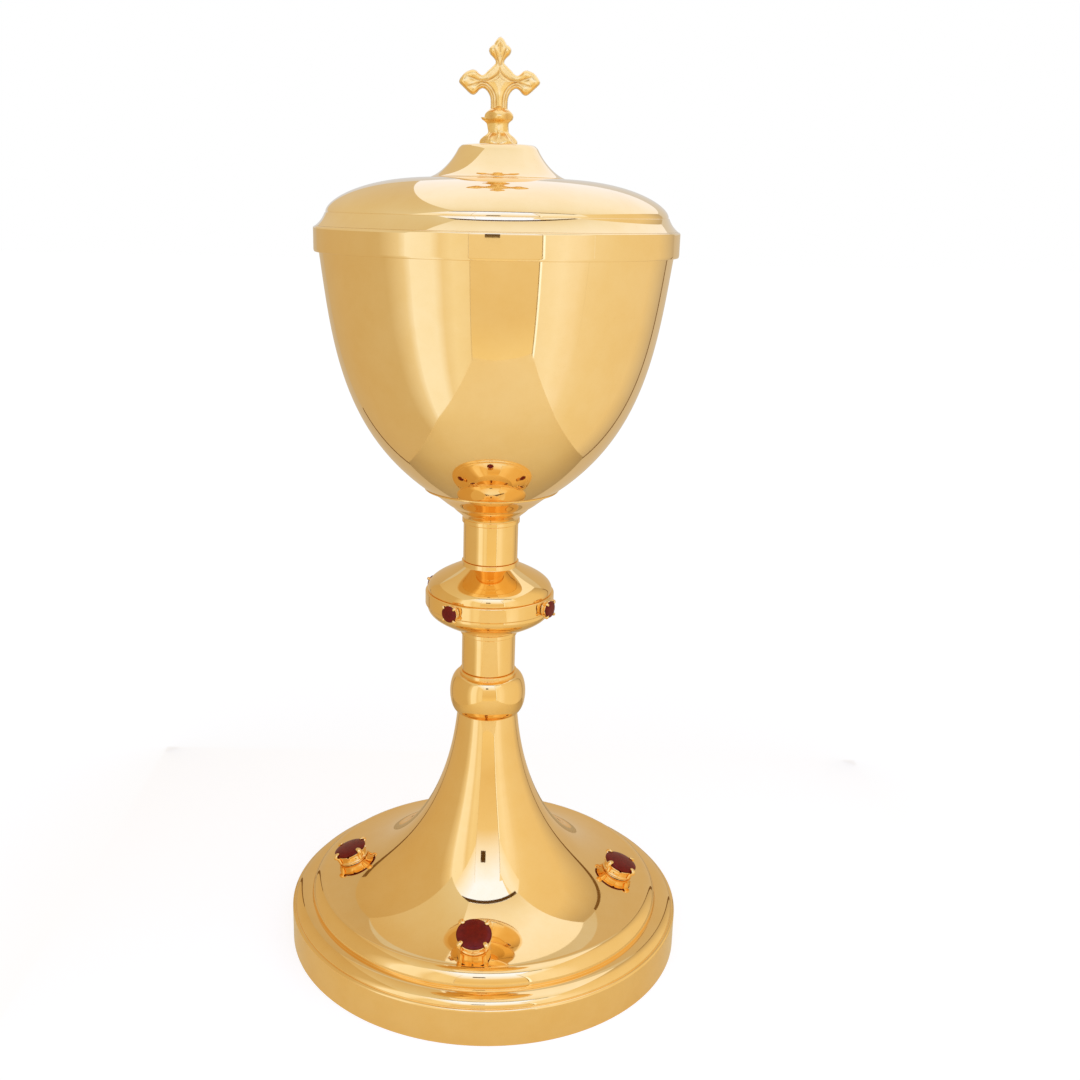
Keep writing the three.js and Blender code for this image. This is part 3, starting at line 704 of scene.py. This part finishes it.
def makeLid():
    l = lid
    outer, base, top, edge = l["bandRadius"], l["bandBase"], l["bandTop"], l["bandRound"]
    ledgeRadius = l["ledge"][0]
    band = [
        *straights((l["bore"], base), (outer - l["bandCurl"], base), (outer, base + edge),
                   (outer, top - edge)),
        quarterRound((outer, top - edge), (outer - edge, top)),
        *straights((outer - edge, top), (ledgeRadius, top), l["ledge"], (l["bore"], l["ledge"][1]),
                   (l["bore"], base)),
    ]
    spinPiece("lidBand", "lid_band", band, [gold], "lid", sides=288)

    low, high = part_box("lid_flange")
    bottom, rim = low.z / mm, high.x / mm
    slot = top - l["slotHeight"]
    # The flange clears the bowl's inner wall by its play at its lower edge
    wall = inset(bowlSide(200), bowl["wall"])
    mouth = float(np.interp(bottom, wall[:, 1], wall[:, 0])) - l["flangePlay"]
    inner = mouth - l["flangeWall"]
    flange = straights((inner, bottom), (mouth, bottom), (mouth, slot), (rim, slot), (rim, top),
                       (inner, top), (inner, bottom))
    spinPiece("lidFlange", "lid_flange", flange, [satin], "lid", "inner_gold", soft=0.3)

    cove = bend((outer - edge, top), 140.2, 1.6, l["shoulder"], 109.3, 2.1, 20)
    domeFoot = (l["shoulder"][0] - l["shoulderStep"], l["shoulder"][1])
    dome = bend(domeFoot, 84, 3.95, l["flat"], 180, 23.4, 80)
    lining = inset(dome, l["wall"])[::-1]
    shoulderRadius = l["shoulder"][0] - l["wall"]
    shell = [
        cove,
        *straights(l["shoulder"], domeFoot),
        dome,
        *straights(l["flat"], (l["studHole"], l["flat"][1]), (l["studHole"], l["flat"][1] - l["wall"]),
                   lining[0]),
        lining,
        *straights(lining[-1], (shoulderRadius, top), (outer - edge, top)),
    ]
    spinPiece("lidDome", "lid_shell", shell, [gold, satin], "lid", soft=0.15, sides=288, inside=(5, 6, 7))

    knobBase, knobRadius = l["flat"][1], l["knobRadius"]
    side = bend((knobRadius, knobBase + l["knobEdge"]), 160, 4.2, l["knobTop"], 113.4, 3.3, 48)
    knob = [
        *straights((l["studHole"], knobBase), (knobRadius, knobBase),
                   (knobRadius, knobBase + l["knobEdge"])),
        side,
        *straights(l["knobTop"], (l["knobShoulder"], l["top"]), (l["studHole"], l["top"]),
                   (l["studHole"], knobBase)),
    ]
    spinPiece("lidKnob", "lid_knob", knob, [gold], "lid", soft={2: 0.7, 3: 0.7, -1: 0.15})


makeLid()
print("lid made")


# Claw settings. Each is worked out on its own upright axis, then leaned and turned into place.
stoneRise = 0.3  # from the crown to the stone's widest edge
footSetting = {
    "turn": -3.4, "seat": 51.35, "lift": 0.05, "stone": 6.25, "base": 5.55, "crown": 6.3, "height": 3.7,
    "wall": 0.8, "waist": 0.75, "wire": 0.42, "girdle": 0.5, "dome": 0.9, "notch": 0.55, "scoop": 0.2,
    "clawWidth": 0.85, "clawThick": 0.55, "clawReach": 1.45,
}
knotSetting = {
    "turn": -33.0, "lift": 0.02, "stone": 3.0, "base": 2.6, "crown": 3.05, "height": 1.8, "wall": 0.6,
    "waist": 0.4, "wire": 0.2, "girdle": 0.3, "dome": 0.5, "notch": 0.3, "scoop": 0.1,
    "clawWidth": 0.46, "clawThick": 0.32, "clawReach": 0.8,
}


def colletPart(s, sides=240):
    # A flared wall with a wire at its waist. Height follows the turn: the crown dips in an even
    # scoop between claws, with a small V and a thin upright seam at the middle of each dip.
    base, crown, height, wall = s["base"], s["crown"], s["height"], s["wall"]
    underWire = s["waist"] - s["wire"]
    flare = bend((base, s["waist"] + s["wire"]), 88, height * 0.35, (crown, height), 52, height * 0.25, 22)
    turn = np.linspace(-math.pi / 2, math.pi / 2, 9)
    wire = np.stack([base + s["wire"] * np.cos(turn), s["waist"] + s["wire"] * np.sin(turn)], axis=1)
    inner = inset(flare, wall)[::-1]
    stretches = [
        *straights((base + 0.12, 0), (base, 0.4 * underWire), (base, underWire)),
        wire,
        flare,
        *straights(flare[-1], inner[0]),
        inner,
        *straights(inner[-1], (base - wall, s["waist"]), (base - wall, 0), (base + 0.12, 0)),
    ]
    profile = softened(stretches, 0.12, True, [0] * len(stretches))[0]
    around = turnsOf(sides)
    quarter = (around + math.pi / 4) % (math.pi / 2) - math.pi / 4  # 0 at the middle of a dip
    radius, level = profile[None, :, 0] + 0 * around, profile[None, :, 1] + 0 * around
    notch = np.clip(1 - np.abs(quarter) * crown / s["notch"], 0, 1)
    dip = s["scoop"] * np.cos(2 * quarter) ** 2 + s["notch"] * notch
    share = np.clip((level - s["waist"]) / (height - s["waist"]), 0, 1) ** 1.5
    level = level - dip * share
    seam = peak(quarter * crown, 0, 0.14)
    outer = profile[None, :, 0] > base - 0.5 * wall
    radius = radius - 0.05 * seam * outer
    groove = np.exp(-np.abs(level - underWire) / 0.2)
    # Painted shade: darker in the groove under the wire and along each seam
    paintedShade = np.clip(seam * 0.3 * outer + groove * 0.4, 0, 1)
    return gridPart(roundAxis(radius, level, around), creviceShade=paintedShade)


def clawPart(s, turn):
    # A rod with an oval section, carried up the flare, past the girdle and over the stone's edge.
    # Its section swells at the fold and closes in a round tip: half width times sqrt(1 - u^8).
    height, crown, stone = s["height"], s["crown"], s["stone"]
    fold = height + stoneRise + s["girdle"]
    over = stone + 0.3 - s["clawReach"]
    path = splinePath([
        (s["base"] + s["wire"], s["waist"] * 0.8),
        (s["base"] + 0.45 * (crown - s["base"]) + 0.15, height * 0.55),
        (crown + 0.15, height * 0.97),
        (stone + 0.3 + s["clawThick"], fold - 0.1 * height),
        (stone + 0.18 + 0.6 * s["clawThick"], fold + 0.85 * s["clawThick"]),
        (over, fold + 0.75 * s["dome"]),
    ], 10)
    along = tangents(path)
    run = arcLength(path)
    run = run / run[-1]
    swell = 0.8 + 0.28 * np.sin(math.pi * run) + 0.12 * run
    cap = np.sqrt(np.clip(1 - (2 * run - 1) ** 8, 0, 1))
    around = turnsOf(20)
    path, along, scale = path[1:-1], along[1:-1], (swell * cap)[1:-1]
    offset = s["clawThick"] * scale[None] * np.cos(around)
    side = s["clawWidth"] * scale[None] * np.sin(around)
    radius = path[None, :, 0] + offset * along[None, :, 1]
    level = path[None, :, 1] - offset * along[None, :, 0]
    grid = np.stack([radius, side, level], axis=-1)
    low = path[0] - along[0] * 0.05
    high = path[-1] + along[-1] * 0.05
    part = gridPart(grid, ((low[0], 0, low[1]), (high[0], 0, high[1])))
    return movedPart(part, np.array(Matrix.Rotation(turn, 4, "Z")))


def stonePart(s):
    # A low dome on a short girdle, with a tapered back that sits in the wall
    seat = s["height"] + stoneRise
    dome = quarterRound((s["stone"], seat + s["girdle"]), (0, seat + s["girdle"] + s["dome"]), 30)
    stretches = [
        *straights((0, seat - 0.45 * s["height"]), (s["stone"] * 0.5, seat - 0.45 * s["height"]),
                   (s["stone"] * 0.86, seat), (s["stone"], seat), (s["stone"], seat + s["girdle"])),
        dome,
    ]
    return spunPart(stretches, soft=0.15, sides=96, poles=True)


def peak(value, middle, width):
    # A soft bump of height 1: exp(-((value - middle) / width)^2)
    return np.exp(-((value - middle) / width) ** 2)


def splinePath(points, steps):
    # A smooth curve through every point (Catmull-Rom)
    points = np.array(points, float)
    ends = np.vstack([2 * points[0] - points[1], points, 2 * points[-1] - points[-2]])
    a, b, c, d = ends[:-3, None], ends[1:-2, None], ends[2:-1, None], ends[3:, None]
    t = np.linspace(0, 1, steps, endpoint=False)[None, :, None]
    square, cube = 2 * a - 5 * b + 4 * c - d, 3 * b - a - 3 * c + d
    curve = 0.5 * (2 * b + (c - a) * t + square * t ** 2 + cube * t ** 3)
    return np.vstack([curve.reshape(-1, 2), points[-1:]])


def makeSettings(s, prefix, names, radius, level, lean):
    # Each setting is leaned back about X, moved to its seat and turned about the axis
    collet = [colletPart(s)] + [clawPart(s, math.radians(45 + 90 * k)) for k in range(4)]
    stone = stonePart(s)
    out, up = s["lift"] * math.sin(lean), s["lift"] * math.cos(lean)
    seated = Matrix.Translation((0, -radius - out, level + up)) @ Matrix.Rotation(lean, 4, "X")
    for k, name in enumerate(names):
        turn = math.radians(s["turn"]) + 2 * math.pi * k / len(names)
        place = np.array(Matrix.Rotation(turn, 4, "Z") @ seated)
        label = "".join(word.capitalize() for word in name.split("_"))
        parts = [movedPart(part, place) for part in collet]
        buildPiece(f"{prefix}Setting{label}", f"{prefix}_collet_{name}", parts, [clawGold])
        buildPiece(f"{prefix}Stone{label}", f"{prefix}_stone_{name}", [movedPart(stone, place)], [garnet])


def makeAllSettings():
    trumpet = trumpetCurve(400)
    along = tangents(trumpet)
    slopes = np.arctan2(along[:, 1], -along[:, 0])
    seat = footSetting["seat"]
    level, slope = (float(np.interp(-seat, -trumpet[:, 0], values)) for values in (trumpet[:, 1], slopes))
    makeSettings(footSetting, "foot", ("front", "right", "back", "left"), seat, level, slope)
    makeSettings(knotSetting, "knot", ("front_left", "front_right", "back_right", "back_left"),
                 stem["bandRadius"], stem["knotCentre"], math.pi / 2)


makeAllSettings()
print("settings made")


# Cross: a cast relief. Its outline is a smooth curve through the points below, mirrored left to
# right, measured from the crossing. From the tip of the upper arm to the tip of a side arm, then on
# to the foot of the shaft.
cross = {
    "centre": 311.2, "base": 291.6, "cell": 0.15, "half": 1.5, "edge": 1.05,
    "upper": [(0, 13.8), (0.6, 13.5), (1.2, 12.9), (1.75, 12.1), (2.15, 11.4), (2.95, 10.9), (3.5, 10.2),
              (3.6, 9.3), (3.15, 8.3), (2.2, 7.4), (1.5, 6.5), (1.5, 5.7), (2.5, 4.7), (3.7, 3.6),
              (4.7, 2.6), (5.7, 2.1), (6.7, 2.6), (7.6, 3.4), (8.6, 3.75), (9.8, 3.5), (11.2, 2.8),
              (12.3, 1.7), (13.0, 0.7), (13.25, 0)],
    "lower": [(13.25, 0), (13.0, -0.6), (12.3, -1.3), (11.2, -2.3), (10.1, -3.3), (9.1, -3.95), (8.2, -4.0),
              (7.3, -3.4), (6.5, -2.5), (5.5, -2.0), (4.5, -2.4), (3.6, -3.4), (3.0, -4.7), (2.8, -6.2),
              (2.8, -8.0), (2.8, -9.6)],
    "lobes": [(8.6, 2.1, 0.5), (8.6, -2.1, 0.5), (11.4, 0, 0.55), (2.1, 9.4, 0.5), (0, 11.9, 0.5)],
    "leafFoot": [(6.2, 0), (6.3, 0.9), (6.0, 1.7), (5.1, 2.6), (4.0, 3.4), (3.4, 4.1), (3.3, 5.2),
                 (3.25, 6.6), (3.7, 7.3), (4.5, 8.0), (4.75, 8.9), (4.4, 9.9), (3.4, 10.9), (2.4, 11.6)],
    "leafTop": 11.7, "leafReach": 6.38,
}


def outlineDistance(points, outline):
    # Distance from each point to a closed outline, the nearest point on it, and what lies inside
    nearest = np.zeros_like(points)
    distance = np.full(len(points), np.inf)
    inside = np.zeros(len(points), bool)
    for start, end in zip(outline, np.roll(outline, -1, axis=0)):
        step = end - start
        share = np.clip((points - start) @ step / (step @ step), 0, 1)
        foot = start + share[:, None] * step
        gap = np.linalg.norm(points - foot, axis=1)
        closer = gap < distance
        nearest[closer], distance[closer] = foot[closer], gap[closer]
        if step[1]:
            crosses = (start[1] > points[:, 1]) != (end[1] > points[:, 1])
            reach = start[0] + (points[:, 1] - start[1]) * step[0] / step[1]
            inside ^= crosses & (points[:, 0] < reach)
    return distance, nearest, inside


def fade(value, middle, width):
    # Falls softly from 1 to 0 as the value passes the middle
    return 1 / (1 + np.exp((value - middle) / width))


def dying(value, start):
    # 1 up to the start, then dying away
    return np.exp(-np.clip(value - start, 0, 9) * 2)


def crossRelief(x, z, depth):
    # Half the thickness: a plate with rounded edges, bulging lobes, a stout shaft, a raised star with
    # four hollow sides, and soft grooves that keep a set distance from the edge
    x = np.abs(x)
    half = cross["half"] + 0.4 * fade(z, -4.5, 0.8)
    for lobeX, lobeZ, rise in cross["lobes"]:
        half = half + rise * np.exp(-((x - lobeX) ** 2 + (z - lobeZ) ** 2) / 2.6)
    power = 0.62
    star = 1 - (x / 5.8) ** power - (np.abs(z) / np.where(z > 0, 4.0, 13.0)) ** power
    half = half + 0.6 * np.clip(star * 2.4, 0, 1)
    starLine = (peak(star, -0.02, 0.07) + 0.8 * peak(star, 0.34, 0.06)) * fade(-z, 0.2, 0.2)
    under = fade(z, 0.4, 0.25) * fade(x, 7.3, 0.3)
    groove = peak(depth, 0.95, 0.2) + 0.9 * peak(depth, 1.75, 0.2)
    ribs = peak(x - 0.25 - 0.32 * (z - 5.2), 0, 0.2) * (z > 4.9) * dying(z, 9.8)
    middle = 0.7 * peak(x, 0, 0.18) * (z > 9.0) * dying(z, 11.6)
    vein = peak(np.abs(z) - 0.3 - 0.34 * (x - 6.6), 0, 0.2) * (x > 6.4) * dying(x, 9.9)
    cut = np.clip(groove * under + starLine + ribs + middle + 0.8 * vein, 0, 1.2)
    share = 1 - np.clip(depth / cross["edge"], 0, 1)
    rim = np.sqrt(np.clip(1 - share ** 2, 0, 1))
    # The second value is painted shade: how dark the grooves, star lines, ribs and veins are
    return (half - 0.22 * cut) * rim, np.clip(cut * 0.75, 0, 1)


def reliefPart():
    c = cross
    right = np.vstack([splinePath(c["upper"], 8), splinePath(c["lower"], 8)[1:]])
    outline = np.vstack([right, right[:0:-1] * (-1, 1)])
    cell = c["cell"]
    x, z = np.meshgrid(np.arange(-14, 14 + cell, cell), np.arange(-9.9, 14.1 + cell, cell), indexing="ij")
    flat = np.stack([x.ravel(), z.ravel()], axis=1)
    depth, nearest, inside = outlineDistance(flat, outline)
    index = np.arange(len(flat)).reshape(x.shape)
    # Cells with three corners or more inside are kept, and the corners at their edge move onto the outline
    corners = np.stack([index[:-1, :-1], index[1:, :-1], index[1:, 1:], index[:-1, 1:]], axis=-1)
    corners = corners.reshape(-1, 4)
    chosen = corners[inside[corners].sum(axis=1) >= 3]
    uses = np.bincount(chosen.ravel(), minlength=len(flat))
    edge = (uses > 0) & ((uses < 4) | ~inside)
    flat = np.where(edge[:, None], nearest, flat)
    depth = np.where(edge, 0, depth)
    # Crease is the depth of painted shade for each point
    thickness, crease = crossRelief(flat[:, 0], flat[:, 1], depth)
    # The front uses every point; the back shares the edge's points and has its own elsewhere
    used = np.flatnonzero(uses)
    front = np.full(len(flat), -1)
    front[used] = np.arange(len(used))
    openUsed = used[~edge[used]]
    back = front.copy()
    back[openUsed] = len(used) + np.arange(len(openUsed))
    height = flat[:, 1] + c["centre"]
    points = np.vstack([
        np.stack([flat[used, 0], -thickness[used], height[used]], axis=1),
        np.stack([flat[openUsed, 0], thickness[openUsed], height[openUsed]], axis=1),
    ])
    quads = np.vstack([front[chosen], back[chosen][:, ::-1]])
    tris = np.zeros((0, 3), int)
    return {"points": points, "quads": quads, "tris": tris,
            "normals": vertexNormals(points, quads, tris), "finish": np.zeros(len(quads), int),
            "creviceShade": np.concatenate([crease[used], crease[openUsed]])}


def leafFootPart(sides=200, levels=130):
    # A turned core whose radius also follows the turn: six leaves with buds between them at the foot,
    # a plain neck, four leaves that curl out at the collar, and a strap up its left side
    core = splinePath(cross["leafFoot"], 12)
    run = arcLength(core)
    even = np.linspace(0, run[-1], levels)
    radius = np.interp(even, run, core[:, 0])[None]
    level = np.interp(even, run, core[:, 1])[None]
    turn = turnsOf(sides)
    sixth = np.abs(np.cos(3 * turn)) ** 0.7
    fourth = (0.5 + 0.5 * np.cos(4 * turn)) ** 0.8
    atFoot = peak(level, 2.1, 1.5)
    atCollar = peak(level, 8.9, 1.5)
    valley = (1 - sixth) * atFoot
    dip = (1 - fourth) * atCollar
    between = (turn + math.pi / 6) % (math.pi / 3) - math.pi / 6
    toBud = np.abs((turn + math.pi / 2) % (math.pi / 3))
    toBud = np.minimum(toBud, math.pi / 3 - toBud)
    bud = peak(toBud * 4.2, 0, 0.38) * peak(level, 2.6, 1.5)
    vein = peak(between * 5, 0, 0.22) * atFoot
    strap = peak((turn - math.pi - 0.12) * 4, 0, 0.8) * np.clip((level - 3.8) / 5, 0, 1) * (level < 8.6)
    out = radius * (1 - 0.36 * valley - 0.16 * dip) + 1.15 * bud - 0.18 * vein + 1.3 * strap
    base = cross["base"]
    grid = roundAxis(np.minimum(out, cross["leafReach"]), level + base, turn)
    # Painted shade: darker in the valleys between leaves, the dips at the collar and the veins, less on the
    # buds
    paintedShade = np.clip(valley * 1.1 - bud * 1.3 + dip * 0.5 + vein * 0.5, 0, 1)
    return gridPart(grid, ((0, 0, base), (0, 0, base + cross["leafTop"])), creviceShade=paintedShade)


buildPiece("crossCast", "cross", [reliefPart(), leafFootPart()], [cast], "lid")
print("cross made")


# Rod, stud, nuts and washers under the foot and inside the lid. Their lengths come from the frame.
fixings = {
    "rodThread": 12, "studPlain": 4.6, "rodPitch": 1.0, "studPitch": 0.8, "rodEnd": 0.5, "topEnd": 0.3,
    "nuts": (("footNut", "foot_nut", 3.05, "cup_and_foot"), ("lidNut", "lid_nut", 2.05, "lid")),
    "washers": (("footWasher", "foot_washer", 3.3, "cup_and_foot"),
                ("lidWasher", "lid_washer", 2.3, "lid")),
}


def threadPart(radius, low, high, threadHigh, pitch):
    # A round bar with chamfered ends. Up to the top of its thread the radius falls by a helical zigzag
    # of depth 0.495 pitch.
    lowEnd, highEnd = fixings["rodEnd"], fixings["topEnd"]
    fine = np.arange(low + 0.3, threadHigh - 0.3, pitch / 8)
    level = np.concatenate([[low, low + lowEnd], fine, [high - highEnd, high]])
    level = np.unique(np.round(level, 4))
    turn = turnsOf(40)
    zigzag = 1 - np.abs(2 * ((level / pitch - turn / (2 * math.pi)) % 1) - 1)
    threaded = (level > low + 0.2) & (level < threadHigh - 0.2)
    chamfer = np.clip(lowEnd - (level - low), 0, lowEnd) + np.clip(highEnd - (high - level), 0, highEnd)
    out = np.minimum(radius - 0.495 * pitch * zigzag * threaded, radius - chamfer)
    return gridPart(roundAxis(out, level, turn), ((0, 0, low), (0, 0, high)), creviceShade=zigzag * threaded * 0.6)


def nutPart(corner, bore, low, high):
    # Six flats cut by a cone at both faces: the radius is the smaller of the hexagon and the cone
    turn = turnsOf(120)
    flat = corner * math.cos(math.pi / 6)
    hexagon = flat / np.cos((turn + math.pi / 6) % (math.pi / 3) - math.pi / 6)
    rise = np.array([0, 0, 0.15, 0.35, 0.6, 1])
    level = np.concatenate([low + rise, high - rise[::-1]])
    cone = flat * 0.97 + 1.8 * np.minimum(level - low, high - level)
    outer = roundAxis(np.minimum(hexagon, cone), level, turn)
    grow = np.array([0.4, 0, 0, 0.4])
    inner = roundAxis(bore + grow, np.array([high, high - 0.4, low + 0.4, low]), turn)
    return gridPart(np.concatenate([outer, inner], axis=1))


def sizesOf(node):
    low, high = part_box(node)
    return high.x / mm, low.z / mm, high.z / mm


def makeFixings():
    f = fixings
    radius, low, high = sizesOf("tie_rod")
    part = threadPart(radius, low, high, low + f["rodThread"], f["rodPitch"])
    buildPiece("tieRod", "tie_rod", [part], [steel])
    radius, low, high = sizesOf("cross_stud")
    part = threadPart(radius, low, high, high - f["studPlain"], f["studPitch"])
    buildPiece("crossStud", "cross_stud", [part], [steel], "lid")
    for name, node, bore, body in f["nuts"]:
        corner, low, high = sizesOf(node)
        buildPiece(name, node, [nutPart(corner, bore, low, high)], [steel], body)
    for name, node, bore, body in f["washers"]:
        outer, low, high = sizesOf(node)
        washer = ringProfile(outer, bore, low, high)
        spinPiece(name, node, washer, [steel], body, "steel", soft=0.15, sides=96)
    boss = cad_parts["bowl_boss"]
    boss.data.materials.clear()
    boss.data.materials.append(steel)


makeFixings()
print("fixings made")


# Stage: the photographer's tent, open towards the camera. Its sheets light the object and show in the
# gold, but the camera looks through them at a white ground. Places in millimetres, colours as light.
tentCorner = {
    "leftFront": (-165, -146, 0), "leftBack": (-165, 150, 0),
    "rightFront": (190, -146, 0), "rightBack": (190, 150, 0),
    "bendFront": (-165, -146, 266), "bendBack": (-165, 165, 266), "bendRight": (200, 165, 266),
    "roofFrontLeft": (-72, -146, 405), "roofFrontRight": (200, -146, 405),
    "roofBackLeft": (-45, 172, 343), "roofBackRight": (200, 172, 343),
}
shadowGlow = (0.10, 0.055, 0.02)
seamGlow = (0.20, 0.11, 0.04)
windowGlow = (1.05, 1.42, 2.8)


def cornersOf(names):
    return [tentCorner[name] for name in names.split()]


def upright(first, second, low, high):
    # A rectangle that stands between two places on the floor
    return [(*first, low), (*second, low), (*second, high), (*first, high)]


# Each sheet has its corners, and then one colour or an axis and the stops of a blend along it.
# The tent itself comes first, then its front flaps, and last the room and window behind the camera.
tentSheets = {
    "leftWall": (
        cornersOf("leftFront leftBack bendBack bendFront"), "Y",
        (-146, (1.02, 1.04, 1.08)), (-128, (0.88, 0.81, 0.66)), (-84, (0.68, 0.56, 0.36)),
        (40, (0.66, 0.52, 0.31)), (150, (0.62, 0.48, 0.28))),
    "leftSlope": (
        cornersOf("bendFront bendBack roofBackLeft roofFrontLeft"), "Y",
        (-146, (0.80, 0.78, 0.70)), (0, (0.76, 0.68, 0.52)), (172, (0.70, 0.57, 0.37))),
    "roofSheet": (
        cornersOf("roofFrontLeft roofFrontRight roofBackRight roofBackLeft"), "Y",
        (-146, (0.90, 0.89, 0.88)), (-60, (1.0, 1.06, 1.22)), (20, (1.06, 1.14, 1.42)),
        (172, (1.03, 1.08, 1.25))),
    "rightWall": (
        cornersOf("rightFront rightBack roofBackRight roofFrontRight"), "Y",
        (-146, (0.95, 0.87, 0.69)), (-90, (0.92, 0.82, 0.60)), (40, (0.88, 0.76, 0.53)),
        (150, (0.58, 0.49, 0.36))),
    "backLow": (
        cornersOf("leftBack rightBack bendRight bendBack"), "X",
        (-165, (0.60, 0.50, 0.36)), (0, (0.67, 0.55, 0.39)), (190, (0.66, 0.57, 0.44))),
    "backHigh": (
        cornersOf("bendBack bendRight roofBackRight roofBackLeft"), "X",
        (-165, (0.70, 0.70, 0.72)), (190, (0.72, 0.70, 0.68))),
    "roofSeam": ([(-137, -147, 405), (190, -147, 405), (190, -164, 405), (-137, -164, 405)], shadowGlow),
    "leftSeam": (upright((-159, 149), (-164, 144), 0, 125), seamGlow),
    "rightSeam": (upright((184, 149), (189, 144), 0, 240), seamGlow),
    "leftFlapHigh": (
        upright((-165, -146), (-115, -420), 320, 700), "Z",
        (320, (1.02, 1.05, 1.15)), (420, (1.05, 1.22, 1.8)), (700, (1.05, 1.40, 2.8))),
    "leftFlapLow": (
        upright((-165, -146), (-115, -420), 0, 320), "Y",
        (-420, (0.95, 0.88, 0.70)), (-300, (0.98, 0.93, 0.78)), (-250, (0.92, 0.84, 0.66)),
        (-215, (1.04, 1.07, 1.12)), (-146, (1.05, 1.10, 1.20))),
    "rightFlapHigh": (
        [(194, -146, 300), (206, -424, 300), (206, -424, 570), (200, -279, 528), (194, -146, 455)], "Z",
        (300, (1.04, 1.06, 1.10)), (420, (1.05, 1.18, 1.55))),
    "rightFlapLow": (
        [(192, -146, 0), (206, -424, 0), (206, -424, 300), (194, -146, 300)], "Y",
        (-424, (1.2, 1.4, 1.8)), (-406, (1.2, 1.4, 1.8)), (-400, (1.0, 0.97, 0.88)),
        (-250, (1.04, 1.03, 1.0)), (-176, (1.0, 0.95, 0.85)), (-146, (0.95, 0.87, 0.69))),
    "roomWall": (
        upright((-115, -432), (206, -432), 0, 700), "Z",
        (0, (0.97, 0.84, 0.54)), (90, (0.86, 0.71, 0.44)), (255, (0.92, 0.81, 0.58)),
        (340, (1.02, 1.10, 1.4)), (500, (1.05, 1.30, 2.2)), (700, windowGlow)),
    "roomLamp": ([(-165, -116, 700), (250, -116, 700), (250, -432, 700), (-165, -432, 700)], windowGlow),
    "rightFlapEdge": (upright((201, -425), (204, -425), 0, 570), (0.25, 0.15, 0.05)),
    "leftFlapEdge": (upright((-115, -421), (-113, -421), 0, 570), (0.62, 0.48, 0.28)),
    "lensCard": (upright((-32, -300), (10, -300), 258, 312), shadowGlow),
}


def stageSheet(name, corners, material, seen):
    mesh = bpy.data.meshes.new(name)
    mesh.from_pydata([[c * mm for c in corner] for corner in corners], [], [list(range(len(corners)))])
    mesh.materials.append(material)
    sheet = bpy.data.objects.new(name, mesh)
    scene.collection.objects.link(sheet)
    sheet.visible_camera = seen


def makeTent():
    for name, (corners, *light) in tentSheets.items():
        material, tree = newMaterial(name)
        colour = light[0]
        if len(light) > 1:
            axis, *stops = light
            colour = blendOf(tree, splitOf(tree, placeOf(tree))[axis], stops)
        glow = nodeOf(tree, "ShaderNodeEmission", {"Color": colour})
        nodeOf(tree, "ShaderNodeOutputMaterial", {"Surface": glow.outputs[0]})
        stageSheet(name, corners, material, False)


# The floor as the gold shows it: painted light, pale in front, with painted shade falling off warmly towards
# the back of the tent
floor = {
    "reach": 6000,
    "fall": ((-400, (1.0, 0.97, 0.90)), (-200, (0.97, 0.92, 0.80)), (-80, (0.90, 0.83, 0.67)),
             (0, (0.80, 0.73, 0.57)), (60, (0.67, 0.59, 0.45)), (150, (0.54, 0.47, 0.36))),
    "shadeInGold": (0.50, 0.46, 0.36), "glowInGold": (0.45, 0.43, 0.37),
    "shadeToEye": (0.34, 0.34, 0.34), "glowToEye": (0.76, 0.765, 0.79), "bounce": (0.80, 0.76, 0.62),
}


def rayKinds(tree):
    # 1 for a ray from the camera, and 1 for a ray that comes by way of a mirror or a clear piece
    path = nodeOf(tree, "ShaderNodeLightPath").outputs
    mirrored = mathOf(tree, "MAXIMUM", path["Is Glossy Ray"], path["Is Transmission Ray"])
    return path["Is Camera Ray"], mirrored


def makeFloor():
    # To the eye the floor stays white and keeps the soft shadow; seen from below it is clear
    material, tree = newMaterial("paleFloor")
    direct, mirrored = rayKinds(tree)
    place = placeOf(tree)
    paper = rampOf(tree, noiseOf(tree, place, 40.0, 3.0), 0.97, 1.03, 0.3, 0.7)
    fall = blendOf(tree, splitOf(tree, place)["Y"], floor["fall"])
    bounce = mixOf(tree, paper, (0, 0, 0), floor["bounce"])
    shade = mixOf(tree, direct, bounce, floor["shadeToEye"])
    # In mirrors the floor's colour and glow are painted light, darkened by painted shade towards the back
    shade = mixOf(tree, mirrored, shade, timesOf(tree, fall, floor["shadeInGold"]))
    glow = mixOf(tree, direct, (0, 0, 0), floor["glowToEye"])
    glow = mixOf(tree, mirrored, glow, timesOf(tree, fall, floor["glowInGold"]))
    both = nodeOf(tree, "ShaderNodeAddShader", {
        0: nodeOf(tree, "ShaderNodeBsdfDiffuse", {"Color": shade}).outputs[0],
        1: nodeOf(tree, "ShaderNodeEmission", {"Color": glow}).outputs[0],
    })
    facing = nodeOf(tree, "ShaderNodeMixShader", {
        0: nodeOf(tree, "ShaderNodeNewGeometry").outputs["Backfacing"],
        1: both.outputs[0],
        2: nodeOf(tree, "ShaderNodeBsdfTransparent").outputs[0],
    })
    nodeOf(tree, "ShaderNodeOutputMaterial", {"Surface": facing.outputs[0]})
    reach = floor["reach"]
    stageSheet("floor", [(-reach, -reach, 0), (reach, -reach, 0), (reach, reach, 0), (-reach, reach, 0)],
               material, True)


def makeWorld():
    scene.world = bpy.data.worlds.new("whiteGround")
    scene.world.use_nodes = True
    tree = scene.world.node_tree
    tree.nodes.clear()
    seen = mathOf(tree, "MAXIMUM", *rayKinds(tree))
    white = mixOf(tree, seen, (0.75, 0.75, 0.75), (1, 1, 1))
    ground = nodeOf(tree, "ShaderNodeBackground", {"Color": white})
    nodeOf(tree, "ShaderNodeOutputWorld", {"Surface": ground.outputs[0]})


makeTent()
makeFloor()
makeWorld()
print("stage made")
